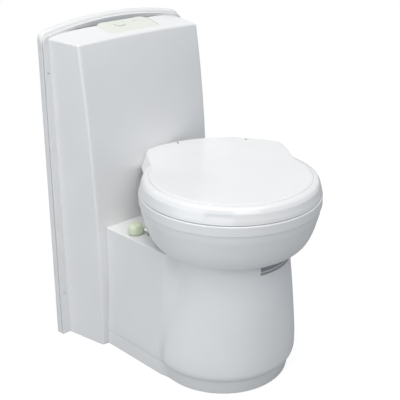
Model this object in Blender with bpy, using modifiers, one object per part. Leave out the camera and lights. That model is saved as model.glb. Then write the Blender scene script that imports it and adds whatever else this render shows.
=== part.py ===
"""Urine-diverting toilet: a lidded swivelling bowl on a tapered pedestal, with its service column and wall plate.

Metres, +Z up, +Y back to the wall, -Y front. The origin is on the floor under the bowl's swivel axis.
The bowl and its lid are shown turned away from straight ahead, so they are built in their own frame,
whose lateral axis is X and whose rear is +Y, and hang on a turned empty.
"""

import math

import bpy
import bmesh
from mathutils import Matrix, Vector

# General clearances and counts
gap = 0.0003
slide_gap = 0.0005
turn_gap = 0.001
through = 0.02
ring_segments = 32
small_segments = 16
arc_steps = 18
bowl_points = 44
lid_arc_steps = 30

# Overall frame
bowl_turn_deg = -35.5
plate_half_top = 0.200
plate_half_foot = 0.206
plate_corner_z = 0.719
plate_rise = 0.0275
plate_corner_r = 0.015
plate_back_y = 0.371
plate_band = 0.014
plate_land = 0.0032
plate_land_inset = 0.009
plate_front_y = plate_back_y - plate_band
land_front_y = plate_front_y - plate_land

# Service column
flange_t = 0.003
flange_inset = 0.0005
flange_back_y = land_front_y - gap
flange_front_y = flange_back_y - flange_t
column_wall = 0.004
column_half_back = (0.185, 0.187)
column_half_front = (0.167, 0.171)
column_front_z = 0.706
column_corner_y = 0.2461
column_lean = 0.0226
column_sag = 0.0668
column_bulge = 0.0056
column_edge_r = 0.006
column_top_front_y = 0.2631
column_top_z = (0.706, 0.709)
column_top_rise = (0.0057, 0.0275)
column_levels = (0.0, 0.08, 0.18, 0.30, 0.42, 0.54, 0.64, 0.706, 0.76)
column_over_top = 0.80
column_over_half = 0.22
column_over_y = (0.20, 0.38)
column_door_half = 0.1482
column_door_top = 0.285

# Pedestal, polar about a centre that drifts forward to the swivel axis at the top
deck_z = 0.305
pedestal_top_z = 0.289
plate_t = 0.004
pedestal_foot_z = 0.0353
barrel_z = (0.0353, 0.038, 0.045, 0.055, 0.075, 0.110, 0.150, 0.218, 0.262, 0.289, 0.305)
barrel_r = (0.1570, 0.1590, 0.1630, 0.1645, 0.1635, 0.1590, 0.1530, 0.1420, 0.1345, 0.1310, 0.1310)
barrel_y = (0.0190, 0.0190, 0.0190, 0.0190, 0.0180, 0.0150, 0.0115, 0.0055, 0.0020, 0.0000, 0.0000)
barrel_w = (0.1515, 0.1525, 0.1533, 0.1535, 0.1530, 0.1525, 0.1520, 0.1512, 0.1506, 0.1502, 0.1500)
blend_start_deg = 5.0
blend_end_deg = 18.0
pedestal_back_y = 0.262
pedestal_wall = 0.004
well_r = 0.158
well_wall = 0.004
pedestal_hole_r = 0.1015
slot_centre_x = 0.006
slot_half = 0.047
slot_low_z = 0.2785
slot_back_y = -0.108
slot_wall = 0.001
slot_depth = 0.014

# Plinth and floor pan
plinth_top_z = 0.035
plinth_r = (0.1485, 0.1545)
plinth_w = (0.1520, 0.1528)
plinth_wall = 0.004
pan_t = 0.005
pan_back_y = 0.3500
pan_r = plinth_r[0] - plinth_wall - gap
pan_w = plinth_w[0] - plinth_wall - gap

# Bowl shell, radius by height
bowl_low_z = 0.297
bowl_rim_z = 0.4223
bowl_rise = bowl_rim_z - bowl_low_z
bowl_z_share = (0.0, 0.0279, 0.0638, 0.1117, 0.1836, 0.2953, 0.4230, 0.5826, 0.7023, 0.7917, 0.7997, 0.9912, 1.0)
bowl_z = tuple(bowl_low_z + bowl_rise * share for share in bowl_z_share)
bowl_r = (0.146, 0.1515, 0.1560, 0.1610, 0.1670, 0.1745, 0.1805, 0.1858, 0.1895, 0.1910, 0.1930, 0.1930, 0.1920)
bowl_wall = 0.004
bowl_floor_z = 0.301
lip_low_z = bowl_rim_z - 0.0113
bowl_hole_r = 0.062
bay_half = 0.1605
bay_front_y = 0.108
bay_floor_z = bowl_low_z + bowl_rise * 0.2873
bay_back_y = 0.25

# Bowl mouth, liner and diverter
mouth_y = -0.034
mouth_a = 0.150
mouth_b = 0.130
mouth_power = 2.3
ledge_w = 0.0065
ledge_z = bowl_rim_z - 0.0068
liner_flange_z = bowl_rim_z - 0.0018
liner_wall = 0.003
liner_low_z = 0.2968
liner_top_z = ledge_z + gap
liner_z_share = (1.0, 0.8672, 0.6992, 0.5311, 0.3798, 0.2370, 0.1277, 0.0)
liner_z = tuple(liner_low_z + (liner_top_z - liner_low_z) * share for share in liner_z_share)
liner_y = (-0.034, -0.033, -0.030, -0.022, -0.012, -0.004, 0.0, 0.0)
liner_a = (0.1425, 0.136, 0.122, 0.098, 0.072, 0.055, 0.0495, 0.0485)
liner_b = (0.1225, 0.117, 0.107, 0.090, 0.072, 0.055, 0.0495, 0.0485)
liner_split = 4
drain_y = -0.084
drain_r = 0.009
drain_bore = 0.006
dish_z_share = (0.8540, 0.7502, 0.6145, 0.5108, 0.4629, 0.4389)
dish_z = tuple(bowl_low_z + bowl_rise * share for share in dish_z_share)
dish_y = (-0.093, -0.092, -0.087, -0.083, -0.084, -0.084)
dish_a = (0.078, 0.070, 0.052, 0.026, 0.0125, 0.009)
dish_b = (0.040, 0.036, 0.028, 0.018, 0.0125, 0.009)
dish_wall = 0.0025
strainer_z = dish_z[-1] + 0.0044
strainer_t = 0.0012
strainer_r = 0.0098
strainer_hole_r = 0.0014
strainer_ring_r = 0.0058

# Swivel ring, bearing race and the ring-shaped urine trough
race_r = (0.110, 0.127)
race_top_z = 0.2932
swivel_r = 0.128
swivel_z = (0.2935, 0.2965)
spigot_r = (0.046, 0.054)
spigot_low_z = 0.257
nozzle_r = 0.007
nozzle_bore = 0.0045
nozzle_low_z = 0.276
trough_inner_r = (0.0745, 0.0765)
trough_outer_r = (0.0975, 0.0995)
trough_floor_z = (0.270, 0.272)
trough_inner_top_z = 0.284
trough_flange_r = 0.1065
trough_flange_t = 0.0012
nipple_at = (0.0806, 0.0293)
nipple_r = 0.006
nipple_bore = 0.0035
nipple_low_z = 0.258

# Outlet collar, seal, blade and its guide
collar_r = (0.0555, 0.0595)
collar_z = (0.2585, 0.2865)
collar_shelf_r = 0.066
collar_shelf_z = 0.2617
collar_hang_r = 0.0765
seal_r = (0.0460, 0.0535)
seal_z = (0.2543, 0.2562)
blade_z = (0.2500, 0.2540)
blade_half = 0.052
blade_y = (-0.050, 0.095)
peg_r = 0.003
peg_arm = 0.105
peg_deg = 210.0
ear_x = (-0.112, -0.050)
ear_half = 0.0115
ear_slot_x = (-0.1095, -0.0865)
ear_slot_half = 0.0045
guide_z = (0.2455, 0.2495)
guide_half = 0.060
guide_y = (-0.098, 0.205)
rail_inner = 0.0545
rail_top_z = 0.2537
rail_break_y = 0.066
wing_front = (-0.0785, 0.0895, -0.0850, -0.0700)
wing_back = (-0.096, 0.090, 0.064, 0.086)
post_at = ((0.0825, 0.0770), (-0.0895, 0.0730), (-0.0735, -0.0800), (0.0850, -0.0780))
post_r = 0.004
outlet_bore = 0.044
outlet_wall = 0.004
outlet_low_z = 0.2385

# Valve lever and its knob
lever_hub_r = (0.061, 0.071)
lever_z = (0.262, 0.268)
lever_deg = 126.0
lever_arm_half = 0.004
stem_at_r = 0.174
stem_r = 0.003
stem_z = 0.312
stem_end_r = 0.194
slit_half = 0.0045
slit_deg = (62.0, 130.0)
knob_at_r = 0.2035
knob_half = (0.0170, 0.0168)
knob_z = (0.3065, 0.3090, 0.3140, 0.3230, 0.3290, 0.3328, 0.3350)
knob_shares = (0.80, 0.93, 1.00, 0.99, 0.90, 0.70, 0.40)
knob_taper = 0.28
knob_bore_end_r = 0.1945

# Hinge
pin_y = 0.138
pin_z = bowl_rim_z + 0.0177
pin_r = 0.004
pin_x = (0.0605, 0.0985)
post_x = (0.0775, 0.0825)
post_head_r = 0.0120
post_stem_half = 0.0090

# Seat
seat_z = (bowl_rim_z + 0.0022, bowl_rim_z + 0.0237)
seat_outer_r = 0.179
seat_back_y = 0.098
seat_hole_y = -0.035
seat_hole_a = 0.105
seat_hole_b = 0.110
seat_edge = 0.003
seat_crown = 0.006
arm_x = (0.0630, 0.0765)
arm_z = (bowl_rim_z + 0.0107, bowl_rim_z + 0.0232)
arm_front_y = 0.090
knuckle_r = 0.011
bumper_r = 0.007
bumper_at_r = 0.170
bumper_degs = (-140.0, -40.0, 12.0, 168.0)

# Lid
lid_r = 0.1915
lid_low_z = bowl_rim_z + 0.0012
lid_top_z = bowl_rim_z + 0.0347
lid_t = 0.0035
lid_below_top = (0.0335, 0.0235, 0.0140, 0.0100, 0.0070, 0.0040, 0.0022, 0.0015, 0.0)
lid_edge_inset = (0.0, 0.0025, 0.0050, 0.0075, 0.0090, 0.0140, 0.0200, 0.0225, 0.0260)
block_flare = (0.0135, 0.0085, 0.0045, 0.0030, 0.0018, 0.0005, -0.0010, -0.0018, -0.0035)
block_back_inset = (0.0, 0.0, 0.0, 0.0, 0.0002, 0.0008, 0.0018, 0.0024, 0.0040)
hollow_below_top = (0.0535, 0.0235, 0.0160, 0.0120, 0.0090, 0.0070, 0.0055, 0.0035)
hollow_edge_inset = (0.0060, 0.0068, 0.0084, 0.0105, 0.0130, 0.0170, 0.0215, 0.0245)
hollow_flare = (0.0100, 0.0050, 0.0018, 0.0002, -0.0010, -0.0018, -0.0026, -0.0043)
block_half = lid_r * 0.8251
block_back_r = 0.2370
block_corner = 0.014
notch_x = (0.0765, 0.0835)
notch_front_y = 0.167
ring_line_r = (lid_r - 0.0237, lid_r - 0.0223)
ring_line_depth = 0.0023
ring_line_back_y = 0.068
boss_x = (0.0840, 0.0955)
boss_r = 0.009
grip_deg = -108.0
grip_half = 0.0275
grip_z = (lid_low_z + 0.0005, lid_low_z + 0.0215)
grip_depth = 0.0083
lid_bumper_at = ((-0.118, -0.110), (0.118, -0.110))
lid_bumper_r = 0.006

# Control panel in the column top, its button, lens and board
panel_x = (-0.050, 0.070)
panel_y = (0.292, 0.343)
panel_sunk = 0.0010
panel_t = 0.0020
pocket_depth = 0.0033
window_inset = 0.004
button_at = (-0.020, 0.318)
button_half = (0.014, 0.009)
button_t = 0.0045
button_proud = 0.0012
button_stem_r = 0.003
button_stem = 0.0165
lens_at = (0.035, 0.318)
lens_half = (0.016, 0.006)
board_z = (0.6960, 0.6976)
board_x = (-0.046, 0.066)
board_y = (0.296, 0.339)
board_post_r = 0.0025
board_post_inset = 0.0072
chip = (0.020, 0.020, 0.004)
switch = (0.0065, 0.0022)

# Fan, filter and the cable between them
fan_z = 0.520
fan_half = 0.046
fan_t = 0.025
fan_bore = 0.043
fan_hub_r = 0.016
fan_shaft_r = 0.0025
fan_shaft = 0.0022
fan_shaft_gap = 0.0001
fan_tip_r = 0.0412
fan_blade_t = 0.0016
fan_blade_chord = 0.013
fan_blades = 7
fan_pitch_deg = 38.0
fan_mount_t = 0.003
fan_strut_half = 0.0025
filter_x = 0.150
filter_y = (0.262, 0.345)
filter_z = (0.390, 0.393, 0.419)
filter_rim = 0.010
cable_r = 0.002
cable_path = ((0.040, 0.318, 0.6956), (0.040, 0.321, 0.665), (0.032, 0.334, 0.610), (0.030, 0.338, 0.5666))

# Collection tray
tray_opening_x = 0.125
tray_opening_z = (0.012, 0.250)
tray_rail_x = (0.1140, 0.1215)
tray_rail_top = 0.0190
tray_rail_y = (-0.035, 0.349)
tray_z = (0.0193, 0.0215, 0.0290)
tray_r = 0.1250
tray_w = 0.1125
tray_y = 0.335
tray_wall = 0.0022
bin_r = 0.1205
bin_w = 0.1060
bin_back_y = 0.112
bin_top_z = 0.2345
bin_wall = 0.0025
can_y = (0.122, 0.325)
can_half = 0.1050
can_z = (0.205, 0.213, 0.2250)
can_wall = 0.0025
can_corner = 0.018
neck_at = (0.075, 0.215)
neck_r = 0.0155
cap_r = 0.0190
cap_low_z = 0.2140
cap_top_z = 0.2345
cap_bore = 0.0045
cap_web_z = (0.2256, 0.2275)
handle_r = 0.003
handle_half = 0.040
handle_back_y = 0.3480
handle_z = 0.0252
hose_r = 0.0045
hose_path = (
    (0.0806, 0.0293, 0.2577),
    (0.0806, 0.0300, 0.2475),
    (0.0806, 0.0380, 0.2408),
    (0.0806, 0.0600, 0.2403),
    (0.0800, 0.1300, 0.2403),
    (0.0755, 0.2000, 0.2403),
)

# Screws that hold the column flange to the wall plate
screw_at = ((-0.1935, 0.110), (0.1935, 0.110), (-0.1925, 0.640), (0.1925, 0.640))
screw_r = 0.0018
screw_head_r = 0.0042
screw_head_t = 0.0028
screw_sink = 0.0040

for old in list(bpy.data.objects):
    bpy.data.objects.remove(old, do_unlink=True)

parts = bpy.data.collections.new("urine_diverting_toilet")
cutters = bpy.data.collections.new("cutters")
bpy.context.scene.collection.children.link(parts)
bpy.context.scene.collection.children.link(cutters)
cutters.hide_render = True

finishes = {
    "white": ((0.86, 0.87, 0.88), 0.22, 0.0),
    "cream": ((0.80, 0.81, 0.81), 0.35, 0.0),
    "grey": ((0.42, 0.44, 0.46), 0.50, 0.0),
    "dark": ((0.05, 0.05, 0.055), 0.60, 0.0),
    "green": ((0.55, 0.63, 0.47), 0.35, 0.0),
    "pale_green": ((0.74, 0.82, 0.72), 0.30, 0.0),
    "steel": ((0.62, 0.63, 0.64), 0.30, 1.0),
    "board": ((0.05, 0.22, 0.10), 0.50, 0.0),
    "carbon": ((0.03, 0.03, 0.03), 0.90, 0.0),
    "rubber": ((0.12, 0.12, 0.13), 0.80, 0.0),
}


def paint(name, finish):
    """One Principled material for each node, from the named finish."""
    colour, rough, metal = finishes[finish]
    material = bpy.data.materials.new(name)
    material.use_nodes = True
    shader = material.node_tree.nodes["Principled BSDF"]
    shader.inputs["Base Color"].default_value = (*colour, 1.0)
    shader.inputs["Roughness"].default_value = rough
    shader.inputs["Metallic"].default_value = metal
    material.diffuse_color = (*colour, 1.0)
    return material


def empty(name, at, parent=None, turn_deg=0.0):
    pivot = bpy.data.objects.new(name, None)
    parts.objects.link(pivot)
    pivot.location = at
    pivot.rotation_euler = (0.0, 0.0, math.radians(turn_deg))
    pivot.parent = parent
    return pivot


bowl_pivot = empty("bowl_pivot", (0.0, 0.0, 0.0), None, bowl_turn_deg)
seat_pivot = empty("seat_pivot", (0.0, pin_y, pin_z), bowl_pivot)
lid_pivot = empty("lid_pivot", (0.0, pin_y, pin_z), bowl_pivot)
lever_pivot = empty("lever_pivot", (0.0, 0.0, lever_z[0]))
fan_pivot = empty("fan_pivot", (0.0, flange_back_y, fan_z))
cap_pivot = empty("cap_pivot", (neck_at[0], neck_at[1], cap_low_z))


def add(name, mesh, finish, pivot=None):
    """Links a mesh as a node, or as a cutter when it has no finish, and hangs it on its pivot."""
    made = bpy.data.objects.new(name, mesh)
    if finish is None:
        cutters.objects.link(made)
        made.display_type = "WIRE"
        made.hide_render = True
    else:
        parts.objects.link(made)
        mesh.materials.append(paint(name, finish))
    if pivot is not None:
        made.parent = pivot
        made.matrix_parent_inverse = Matrix.Translation(-Vector(pivot.location))
    return made


def skin(name, rings, finish, pivot=None, closed=False, smooth=True):
    """Joins rings of equal count by quads, with end caps, or back to the first ring when closed."""
    mesh = bpy.data.meshes.new(name)
    shape = bmesh.new()
    loops = [[shape.verts.new(point) for point in ring] for ring in rings]
    count = len(loops[0])
    pairs = list(zip(loops, loops[1:]))
    if closed:
        pairs.append((loops[-1], loops[0]))
    for low, high in pairs:
        for i in range(count):
            j = (i + 1) % count
            shape.faces.new((low[i], low[j], high[j], high[i])).smooth = smooth
    if not closed:
        shape.faces.new(loops[0][::-1])
        shape.faces.new(loops[-1])
    bmesh.ops.recalc_face_normals(shape, faces=shape.faces)
    shape.to_mesh(mesh)
    shape.free()
    return add(name, mesh, finish, pivot)


def box(name, x, y, z, finish, pivot=None):
    low = [(x[0], y[0], z[0]), (x[1], y[0], z[0]), (x[1], y[1], z[0]), (x[0], y[1], z[0])]
    high = [(px, py, z[1]) for px, py, pz in low]
    return skin(name, [low, high], finish, pivot, smooth=False)


def circle(radius, z, at=(0.0, 0.0), count=ring_segments):
    """Points of a circle, x = r cos a, y = r sin a."""
    angles = [2 * math.pi * i / count for i in range(count)]
    return [(at[0] + radius * math.cos(a), at[1] + radius * math.sin(a), z) for a in angles]


def rod(name, start, end, radius, finish, pivot=None, count=small_segments):
    """A round bar between two points."""
    start, end = Vector(start), Vector(end)
    turn = Vector((0.0, 0.0, 1.0)).rotation_difference(end - start).to_matrix()
    flat = [turn @ Vector(point) for point in circle(radius, 0.0, count=count)]
    return skin(name, [[start + p for p in flat], [end + p for p in flat]], finish, pivot)


def turned(name, profile, finish, pivot=None, at=(0.0, 0.0), count=ring_segments):
    """A closed (radius, height) profile swept round the vertical by a Screw modifier."""
    mesh = bpy.data.meshes.new(name)
    points = [(radius, 0.0, z) for radius, z in profile]
    edges = [(i, (i + 1) % len(points)) for i in range(len(points))]
    mesh.from_pydata(points, edges, [])
    made = add(name, mesh, finish, pivot)
    if pivot is None:
        made.location = (at[0], at[1], 0.0)
    else:
        here = Vector((at[0], at[1], 0.0)) - Vector(pivot.location)
        made.matrix_parent_inverse = Matrix.Translation(here)
    sweep = made.modifiers.new("sweep", "SCREW")
    sweep.steps = sweep.render_steps = count
    sweep.use_merge_vertices = True
    sweep.merge_threshold = 0.00001
    sweep.use_smooth_shade = True
    return made


def tube(name, path, radius, finish, steps=4):
    """A round cord along a smooth path: Catmull-Rom points on a curve with filled ends."""
    path = [Vector(point) for point in path]
    ends = [2 * path[0] - path[1]] + path + [2 * path[-1] - path[-2]]
    points = []
    for p, q, r, s in zip(ends, ends[1:], ends[2:], ends[3:]):
        for i in range(steps):
            t = i / steps
            points.append(
                q + (r - p) * t / 2 + (2 * p - 5 * q + 4 * r - s) * t * t / 2
                + (3 * q - p - 3 * r + s) * t**3 / 2
            )
    points.append(path[-1])
    curve = bpy.data.curves.new(name, "CURVE")
    curve.dimensions = "3D"
    curve.bevel_depth = radius
    curve.bevel_resolution = 2
    curve.use_fill_caps = True
    line = curve.splines.new("POLY")
    line.points.add(len(points) - 1)
    for slot, point in zip(line.points, points):
        slot.co = (*point, 1.0)
    made = bpy.data.objects.new(name, curve)
    parts.objects.link(made)
    curve.materials.append(paint(name, finish))
    return made


def boolean(target, other, operation):
    step = target.modifiers.new(other.name, "BOOLEAN")
    step.operation = operation
    step.solver = "EXACT"
    step.object = other
    return target


def cut(target, *others):
    for other in others:
        boolean(target, other, "DIFFERENCE")
    return target


def join(target, *others):
    for other in others:
        boolean(target, other, "UNION")
    return target


def between(value, xs, ys):
    """Straight-line interpolation in a table of rising xs."""
    for x0, x1, y0, y1 in zip(xs, xs[1:], ys, ys[1:]):
        if value <= x1:
            return y0 + (y1 - y0) * (value - x0) / (x1 - x0)
    return ys[-1]


def lift(points, z):
    return [(x, y, z) for x, y in points]


def body_outline(radius, half_width, centre_y, back_y):
    """Round front into flat sides: r(a) = (1 - w) R + w W / cos a, with w = smoothstep between the blend angles."""
    half = []
    for i in range(arc_steps + 1):
        a_deg = -90.0 + (blend_end_deg + 90.0) * i / arc_steps
        a = math.radians(a_deg)
        share = min(max((a_deg - blend_start_deg) / (blend_end_deg - blend_start_deg), 0.0), 1.0)
        w = share * share * (3 - 2 * share)
        r = (1 - w) * radius + (w * half_width / math.cos(a) if w else 0.0)
        half.append((r * math.cos(a), centre_y + r * math.sin(a)))
    half[0] = (0.0, centre_y - radius)
    half.append((half_width, back_y))
    return half + [(-x, y) for x, y in half[:0:-1]]


def barrel_ring(z, inset, level=None):
    radius = between(z, barrel_z, barrel_r) - inset
    half_width = between(z, barrel_z, barrel_w) - inset
    centre_y = between(z, barrel_z, barrel_y)
    outline = body_outline(radius, half_width, centre_y, pedestal_back_y + inset)
    return lift(outline, z if level is None else level)


def rounded_corner(before, corner, after, radius, steps=3):
    """Points of a quadratic arc that cuts the corner at the given distance."""
    before, corner, after = Vector(before), Vector(corner), Vector(after)
    start = corner + (before - corner).normalized() * radius
    end = corner + (after - corner).normalized() * radius
    arc = []
    for i in range(steps + 1):
        t = i / steps
        arc.append(tuple(start * (1 - t) ** 2 + corner * 2 * t * (1 - t) + end * t * t))
    return arc


def column_ring(z, inset, back_y):
    """Plan of the column at one height: a sagging, bulged front face and sides that widen to the back."""
    s = z / column_front_z
    low, high = column_half_front
    half_front = low + (high - low) * s - inset
    low, high = column_half_back
    half_back = low + (high - low) * s - inset
    corner_y = column_corner_y + column_lean * s - column_sag * s * (1 - s) + inset
    steps = 8
    front = []
    for i in range(1, steps):
        t = 2 * i / steps - 1
        front.append((half_front * t, corner_y - column_bulge * (1 - t * t)))
    edge = max(column_edge_r - inset, column_edge_r / 3)
    side_y = min(back_y, flange_back_y)
    left = rounded_corner((-half_back, side_y), (-half_front, corner_y), front[0], edge)
    right = rounded_corner(front[-1], (half_front, corner_y), (half_back, side_y), edge)
    back = [(half_back, side_y), (-half_back, side_y)]
    if back_y > side_y:
        back[1:1] = [(half_back, back_y), (-half_back, back_y)]
    return lift(left + front + right + back, z)


def column_slice(z, inset, back_y):
    """The column's plan between two of its levels, on the straight walls that join them."""
    index = next(i for i, level in enumerate(column_levels[1:]) if z <= level)
    low, high = column_levels[index], column_levels[index + 1]
    share = (z - low) / (high - low)
    pairs = zip(column_ring(low, inset, back_y), column_ring(high, inset, back_y))
    return [tuple(Vector(a).lerp(Vector(b), share)) for a, b in pairs]


def top_z(x, y):
    """Height of the column's top: an arch across x whose rise grows from front to back."""
    v = (y - column_top_front_y) / (flange_front_y - column_top_front_y)
    corner = column_top_z[0] + (column_top_z[1] - column_top_z[0]) * v
    rise = column_top_rise[0] + (column_top_rise[1] - column_top_rise[0]) * v
    half = column_half_front[1] + (column_half_back[1] - column_half_front[1]) * v
    return corner + rise * (1 - (x / half) ** 2)


def top_tilt(at):
    """Slope of the column's top along y at a place, as an angle."""
    step = gap
    return math.atan2(top_z(at[0], at[1] + step) - top_z(at[0], at[1] - step), 2 * step)


def patch(name, x, y, low, high, finish, steps=(8, 4)):
    """A slab whose underside and top are low(x, y) and high(x, y) on a grid."""
    nx, ny = steps
    xs = [x[0] + (x[1] - x[0]) * i / nx for i in range(nx + 1)]
    ys = [y[0] + (y[1] - y[0]) * j / ny for j in range(ny + 1)]
    mesh = bpy.data.meshes.new(name)
    shape = bmesh.new()
    sheets = []
    for height in (low, high):
        sheets.append([[shape.verts.new((px, py, height(px, py))) for py in ys] for px in xs])
    under, over = sheets
    for i in range(nx):
        for j in range(ny):
            shape.faces.new((under[i][j], under[i][j + 1], under[i + 1][j + 1], under[i + 1][j]))
            shape.faces.new((over[i][j], over[i + 1][j], over[i + 1][j + 1], over[i][j + 1]))
    rim = [(i, 0) for i in range(nx)] + [(nx, j) for j in range(ny)]
    rim += [(i, ny) for i in range(nx, 0, -1)] + [(0, j) for j in range(ny, 0, -1)]
    for (i, j), (k, m) in zip(rim, rim[1:] + rim[:1]):
        shape.faces.new((under[i][j], under[k][m], over[k][m], over[i][j]))
    bmesh.ops.recalc_face_normals(shape, faces=shape.faces)
    shape.to_mesh(mesh)
    shape.free()
    return add(name, mesh, finish)


def plate_outline(inset, y):
    """Wall-plate outline in x and z: straight sides, rounded top corners and an arched top."""
    steps = 12
    half = plate_half_top - inset
    foot = plate_half_foot - inset
    arch = []
    for i in range(1, steps):
        t = 1 - 2 * i / steps
        arch.append((half * t, plate_corner_z - inset + plate_rise * (1 - t * t)))
    corner_z = plate_corner_z - inset
    right = rounded_corner((foot, inset), (half, corner_z), arch[0], plate_corner_r)
    left = rounded_corner(arch[-1], (-half, corner_z), (-foot, inset), plate_corner_r)
    outline = [(-foot, inset), (foot, inset)] + right + arch + left
    return [(x, y, z) for x, z in outline]


def oval(a, b, z, at_y=0.0, power=2.0, count=bowl_points):
    """Superellipse |x/a|^n + |y/b|^n = 1, sampled by angle, centred on the bowl's midline."""
    ring = []
    for i in range(count):
        angle = 2 * math.pi * i / count
        c, s = math.cos(angle), math.sin(angle)
        r = (abs(c / a) ** power + abs(s / b) ** power) ** (-1 / power)
        ring.append((r * c, at_y + r * s, z))
    return ring


def bowl_ring(radius, z):
    return circle(radius, z, count=bowl_points)


def lid_outline(radius, half, back_r, z):
    """Round lid with its rear block: an arc, two straight sides, rounded corners and a rear arc about the swivel axis."""
    join_angle = math.acos(half / radius)
    points = []
    for i in range(lid_arc_steps + 1):
        a = join_angle - (math.pi + 2 * join_angle) * i / lid_arc_steps
        points.append((radius * math.cos(a), radius * math.sin(a)))
    points = points[::-1]
    corner_angle = math.acos(half / back_r)
    first = corner_angle + block_corner / back_r
    steps = 10
    rear = []
    for i in range(steps + 1):
        a = first + (math.pi - 2 * first) * i / steps
        rear.append((back_r * math.cos(a), back_r * math.sin(a)))
    corner_y = back_r * math.sin(corner_angle)
    right = rounded_corner((half, 0.0), (half, corner_y), rear[0], block_corner)
    left = [(-x, y) for x, y in right[::-1]]
    return lift(points + right[:-1] + rear + left[1:], z)


# Wall plate
wall_plate = skin("wall_plate", [plate_outline(0.0, plate_back_y), plate_outline(0.0, plate_front_y),
                                 plate_outline(plate_land_inset, plate_front_y),
                                 plate_outline(plate_land_inset, land_front_y)], "white", smooth=False)
tray_door = box("cut_tray_door", (-tray_opening_x, tray_opening_x),
                (flange_front_y - through, plate_back_y + through), tray_opening_z, None)
fan_port = rod("cut_fan_port", (0.0, flange_back_y, fan_z), (0.0, plate_back_y + through, fan_z),
               fan_bore, None, count=ring_segments)
cut(wall_plate, tray_door, fan_port)
for number, (x, z) in enumerate(screw_at, 1):
    shank = rod(f"cut_shank_{number}", (x, flange_front_y - through, z), (x, plate_back_y + through, z),
                screw_r + gap, None)
    head = rod(f"cut_head_{number}", (x, plate_back_y - screw_sink - gap, z), (x, plate_back_y + through, z),
               screw_head_r + gap, None)
    cut(wall_plate, shank, head)
    head_y = plate_back_y - screw_sink
    screw = rod(f"flange_screw_{number}", (x, head_y, z), (x, head_y + screw_head_t, z), screw_head_r, "steel")
    bar = rod(f"join_shank_{number}", (x, flange_front_y, z), (x, head_y + screw_head_t / 2, z), screw_r, None)
    join(screw, bar)

# Column housing
column_cap = patch("cut_column_cap", (-column_over_half, column_over_half), column_over_y,
                   top_z, lambda x, y: column_over_top, None, (12, 4))
hollow_cap = patch("cut_hollow_cap", (-column_over_half, column_over_half), column_over_y,
                   lambda x, y: top_z(x, y) - column_wall, lambda x, y: column_over_top, None, (12, 4))
housing = skin("column_housing", [column_ring(z, 0.0, flange_back_y) for z in column_levels], "white")
cut(housing, column_cap)
flange = skin("join_flange", [plate_outline(flange_inset, flange_front_y),
                              plate_outline(flange_inset, flange_back_y)], None)
join(housing, flange)
hollow_levels = (-through,) + column_levels[1:]
hollow = skin("cut_column_hollow", [column_ring(z, column_wall, flange_back_y + through) for z in hollow_levels], None)
cut(hollow, hollow_cap)
column_door = box("cut_column_door", (-column_door_half, column_door_half),
                  (column_over_y[0], flange_front_y - through), (-through, column_door_top), None)
cut(housing, hollow, column_door)
for number in range(1, len(screw_at) + 1):
    cut(housing, bpy.data.objects[f"cut_shank_{number}"])

# Control panel let into the column top
pocket = patch("cut_panel_pocket", (panel_x[0] - slide_gap, panel_x[1] + slide_gap),
               (panel_y[0] - slide_gap, panel_y[1] + slide_gap),
               lambda x, y: top_z(x, y) - pocket_depth, lambda x, y: column_over_top, None, (6, 2))
window = patch("cut_panel_window", (panel_x[0] + window_inset, panel_x[1] - window_inset),
               (panel_y[0] + window_inset, panel_y[1] - window_inset),
               lambda x, y: top_z(x, y) - column_wall - through, lambda x, y: column_over_top, None, (6, 2))
cut(housing, pocket, window)
panel = patch("control_panel", panel_x, panel_y, lambda x, y: top_z(x, y) - panel_sunk - panel_t,
              lambda x, y: top_z(x, y) - panel_sunk, "pale_green", (6, 2))
button_tilt = top_tilt(button_at)
button_seat = Matrix.Translation((*button_at, top_z(*button_at) - panel_sunk)) @ Matrix.Rotation(button_tilt, 4, "X")
lens_seat = Matrix.Translation((*lens_at, top_z(*lens_at) - panel_sunk)) @ Matrix.Rotation(top_tilt(lens_at), 4, "X")


def seated(made, seat):
    made.matrix_world = seat
    return made


button_hole = seated(skin("cut_button_hole", [oval(button_half[0] + slide_gap, button_half[1] + slide_gap, z, count=20)
                                              for z in (-through, through)], None), button_seat)
lens_hole = seated(skin("cut_lens_hole", [oval(lens_half[0] + gap, lens_half[1] + gap, z, count=16)
                                          for z in (-through, through)], None), lens_seat)
cut(panel, button_hole, lens_hole)
post_xs = (panel_x[0] + board_post_inset, panel_x[1] - board_post_inset)
post_ys = (panel_y[0] + board_post_inset, panel_y[1] - board_post_inset)
for number, (x, y) in enumerate([(x, y) for x in post_xs for y in post_ys], 1):
    stud = rod(f"join_board_stud_{number}", (x, y, board_z[1] + gap), (x, y, top_z(x, y) - panel_sunk - panel_t / 2),
               board_post_r, None, count=8)
    join(panel, stud)
button = seated(skin("fan_button", [oval(button_half[0], button_half[1], -button_t, count=20),
                                    oval(button_half[0], button_half[1], button_proud - gap, count=20),
                                    oval(button_half[0] - gap, button_half[1] - gap, button_proud, count=20)],
                     "pale_green"), button_seat)
button_bar = seated(rod("join_button_stem", (0.0, 0.0, -button_t - button_stem), (0.0, 0.0, -button_t / 2),
                        button_stem_r, None, count=12), button_seat)
join(button, button_bar)
lens = seated(skin("level_lens", [oval(lens_half[0], lens_half[1], -panel_t, count=16),
                                  oval(lens_half[0], lens_half[1], -gap, count=16)], "green"), lens_seat)
board = box("control_board", board_x, board_y, board_z, "board")
chip_box = box("join_chip", (lens_at[0] - chip[0], lens_at[0] + chip[0] / 4),
               (lens_at[1] - chip[1] / 2, lens_at[1] + chip[1] / 2), (board_z[0] + gap, board_z[1] + chip[2]), None)
switch_y = button_at[1] + (button_t + button_stem) * math.sin(button_tilt)
switch_box = box("join_switch", (button_at[0] - switch[0] / 2, button_at[0] + switch[0] / 2),
                 (switch_y - switch[0] / 2, switch_y + switch[0] / 2), (board_z[0] + gap, board_z[1] + switch[1]), None)
join(board, chip_box, switch_box)

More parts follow.
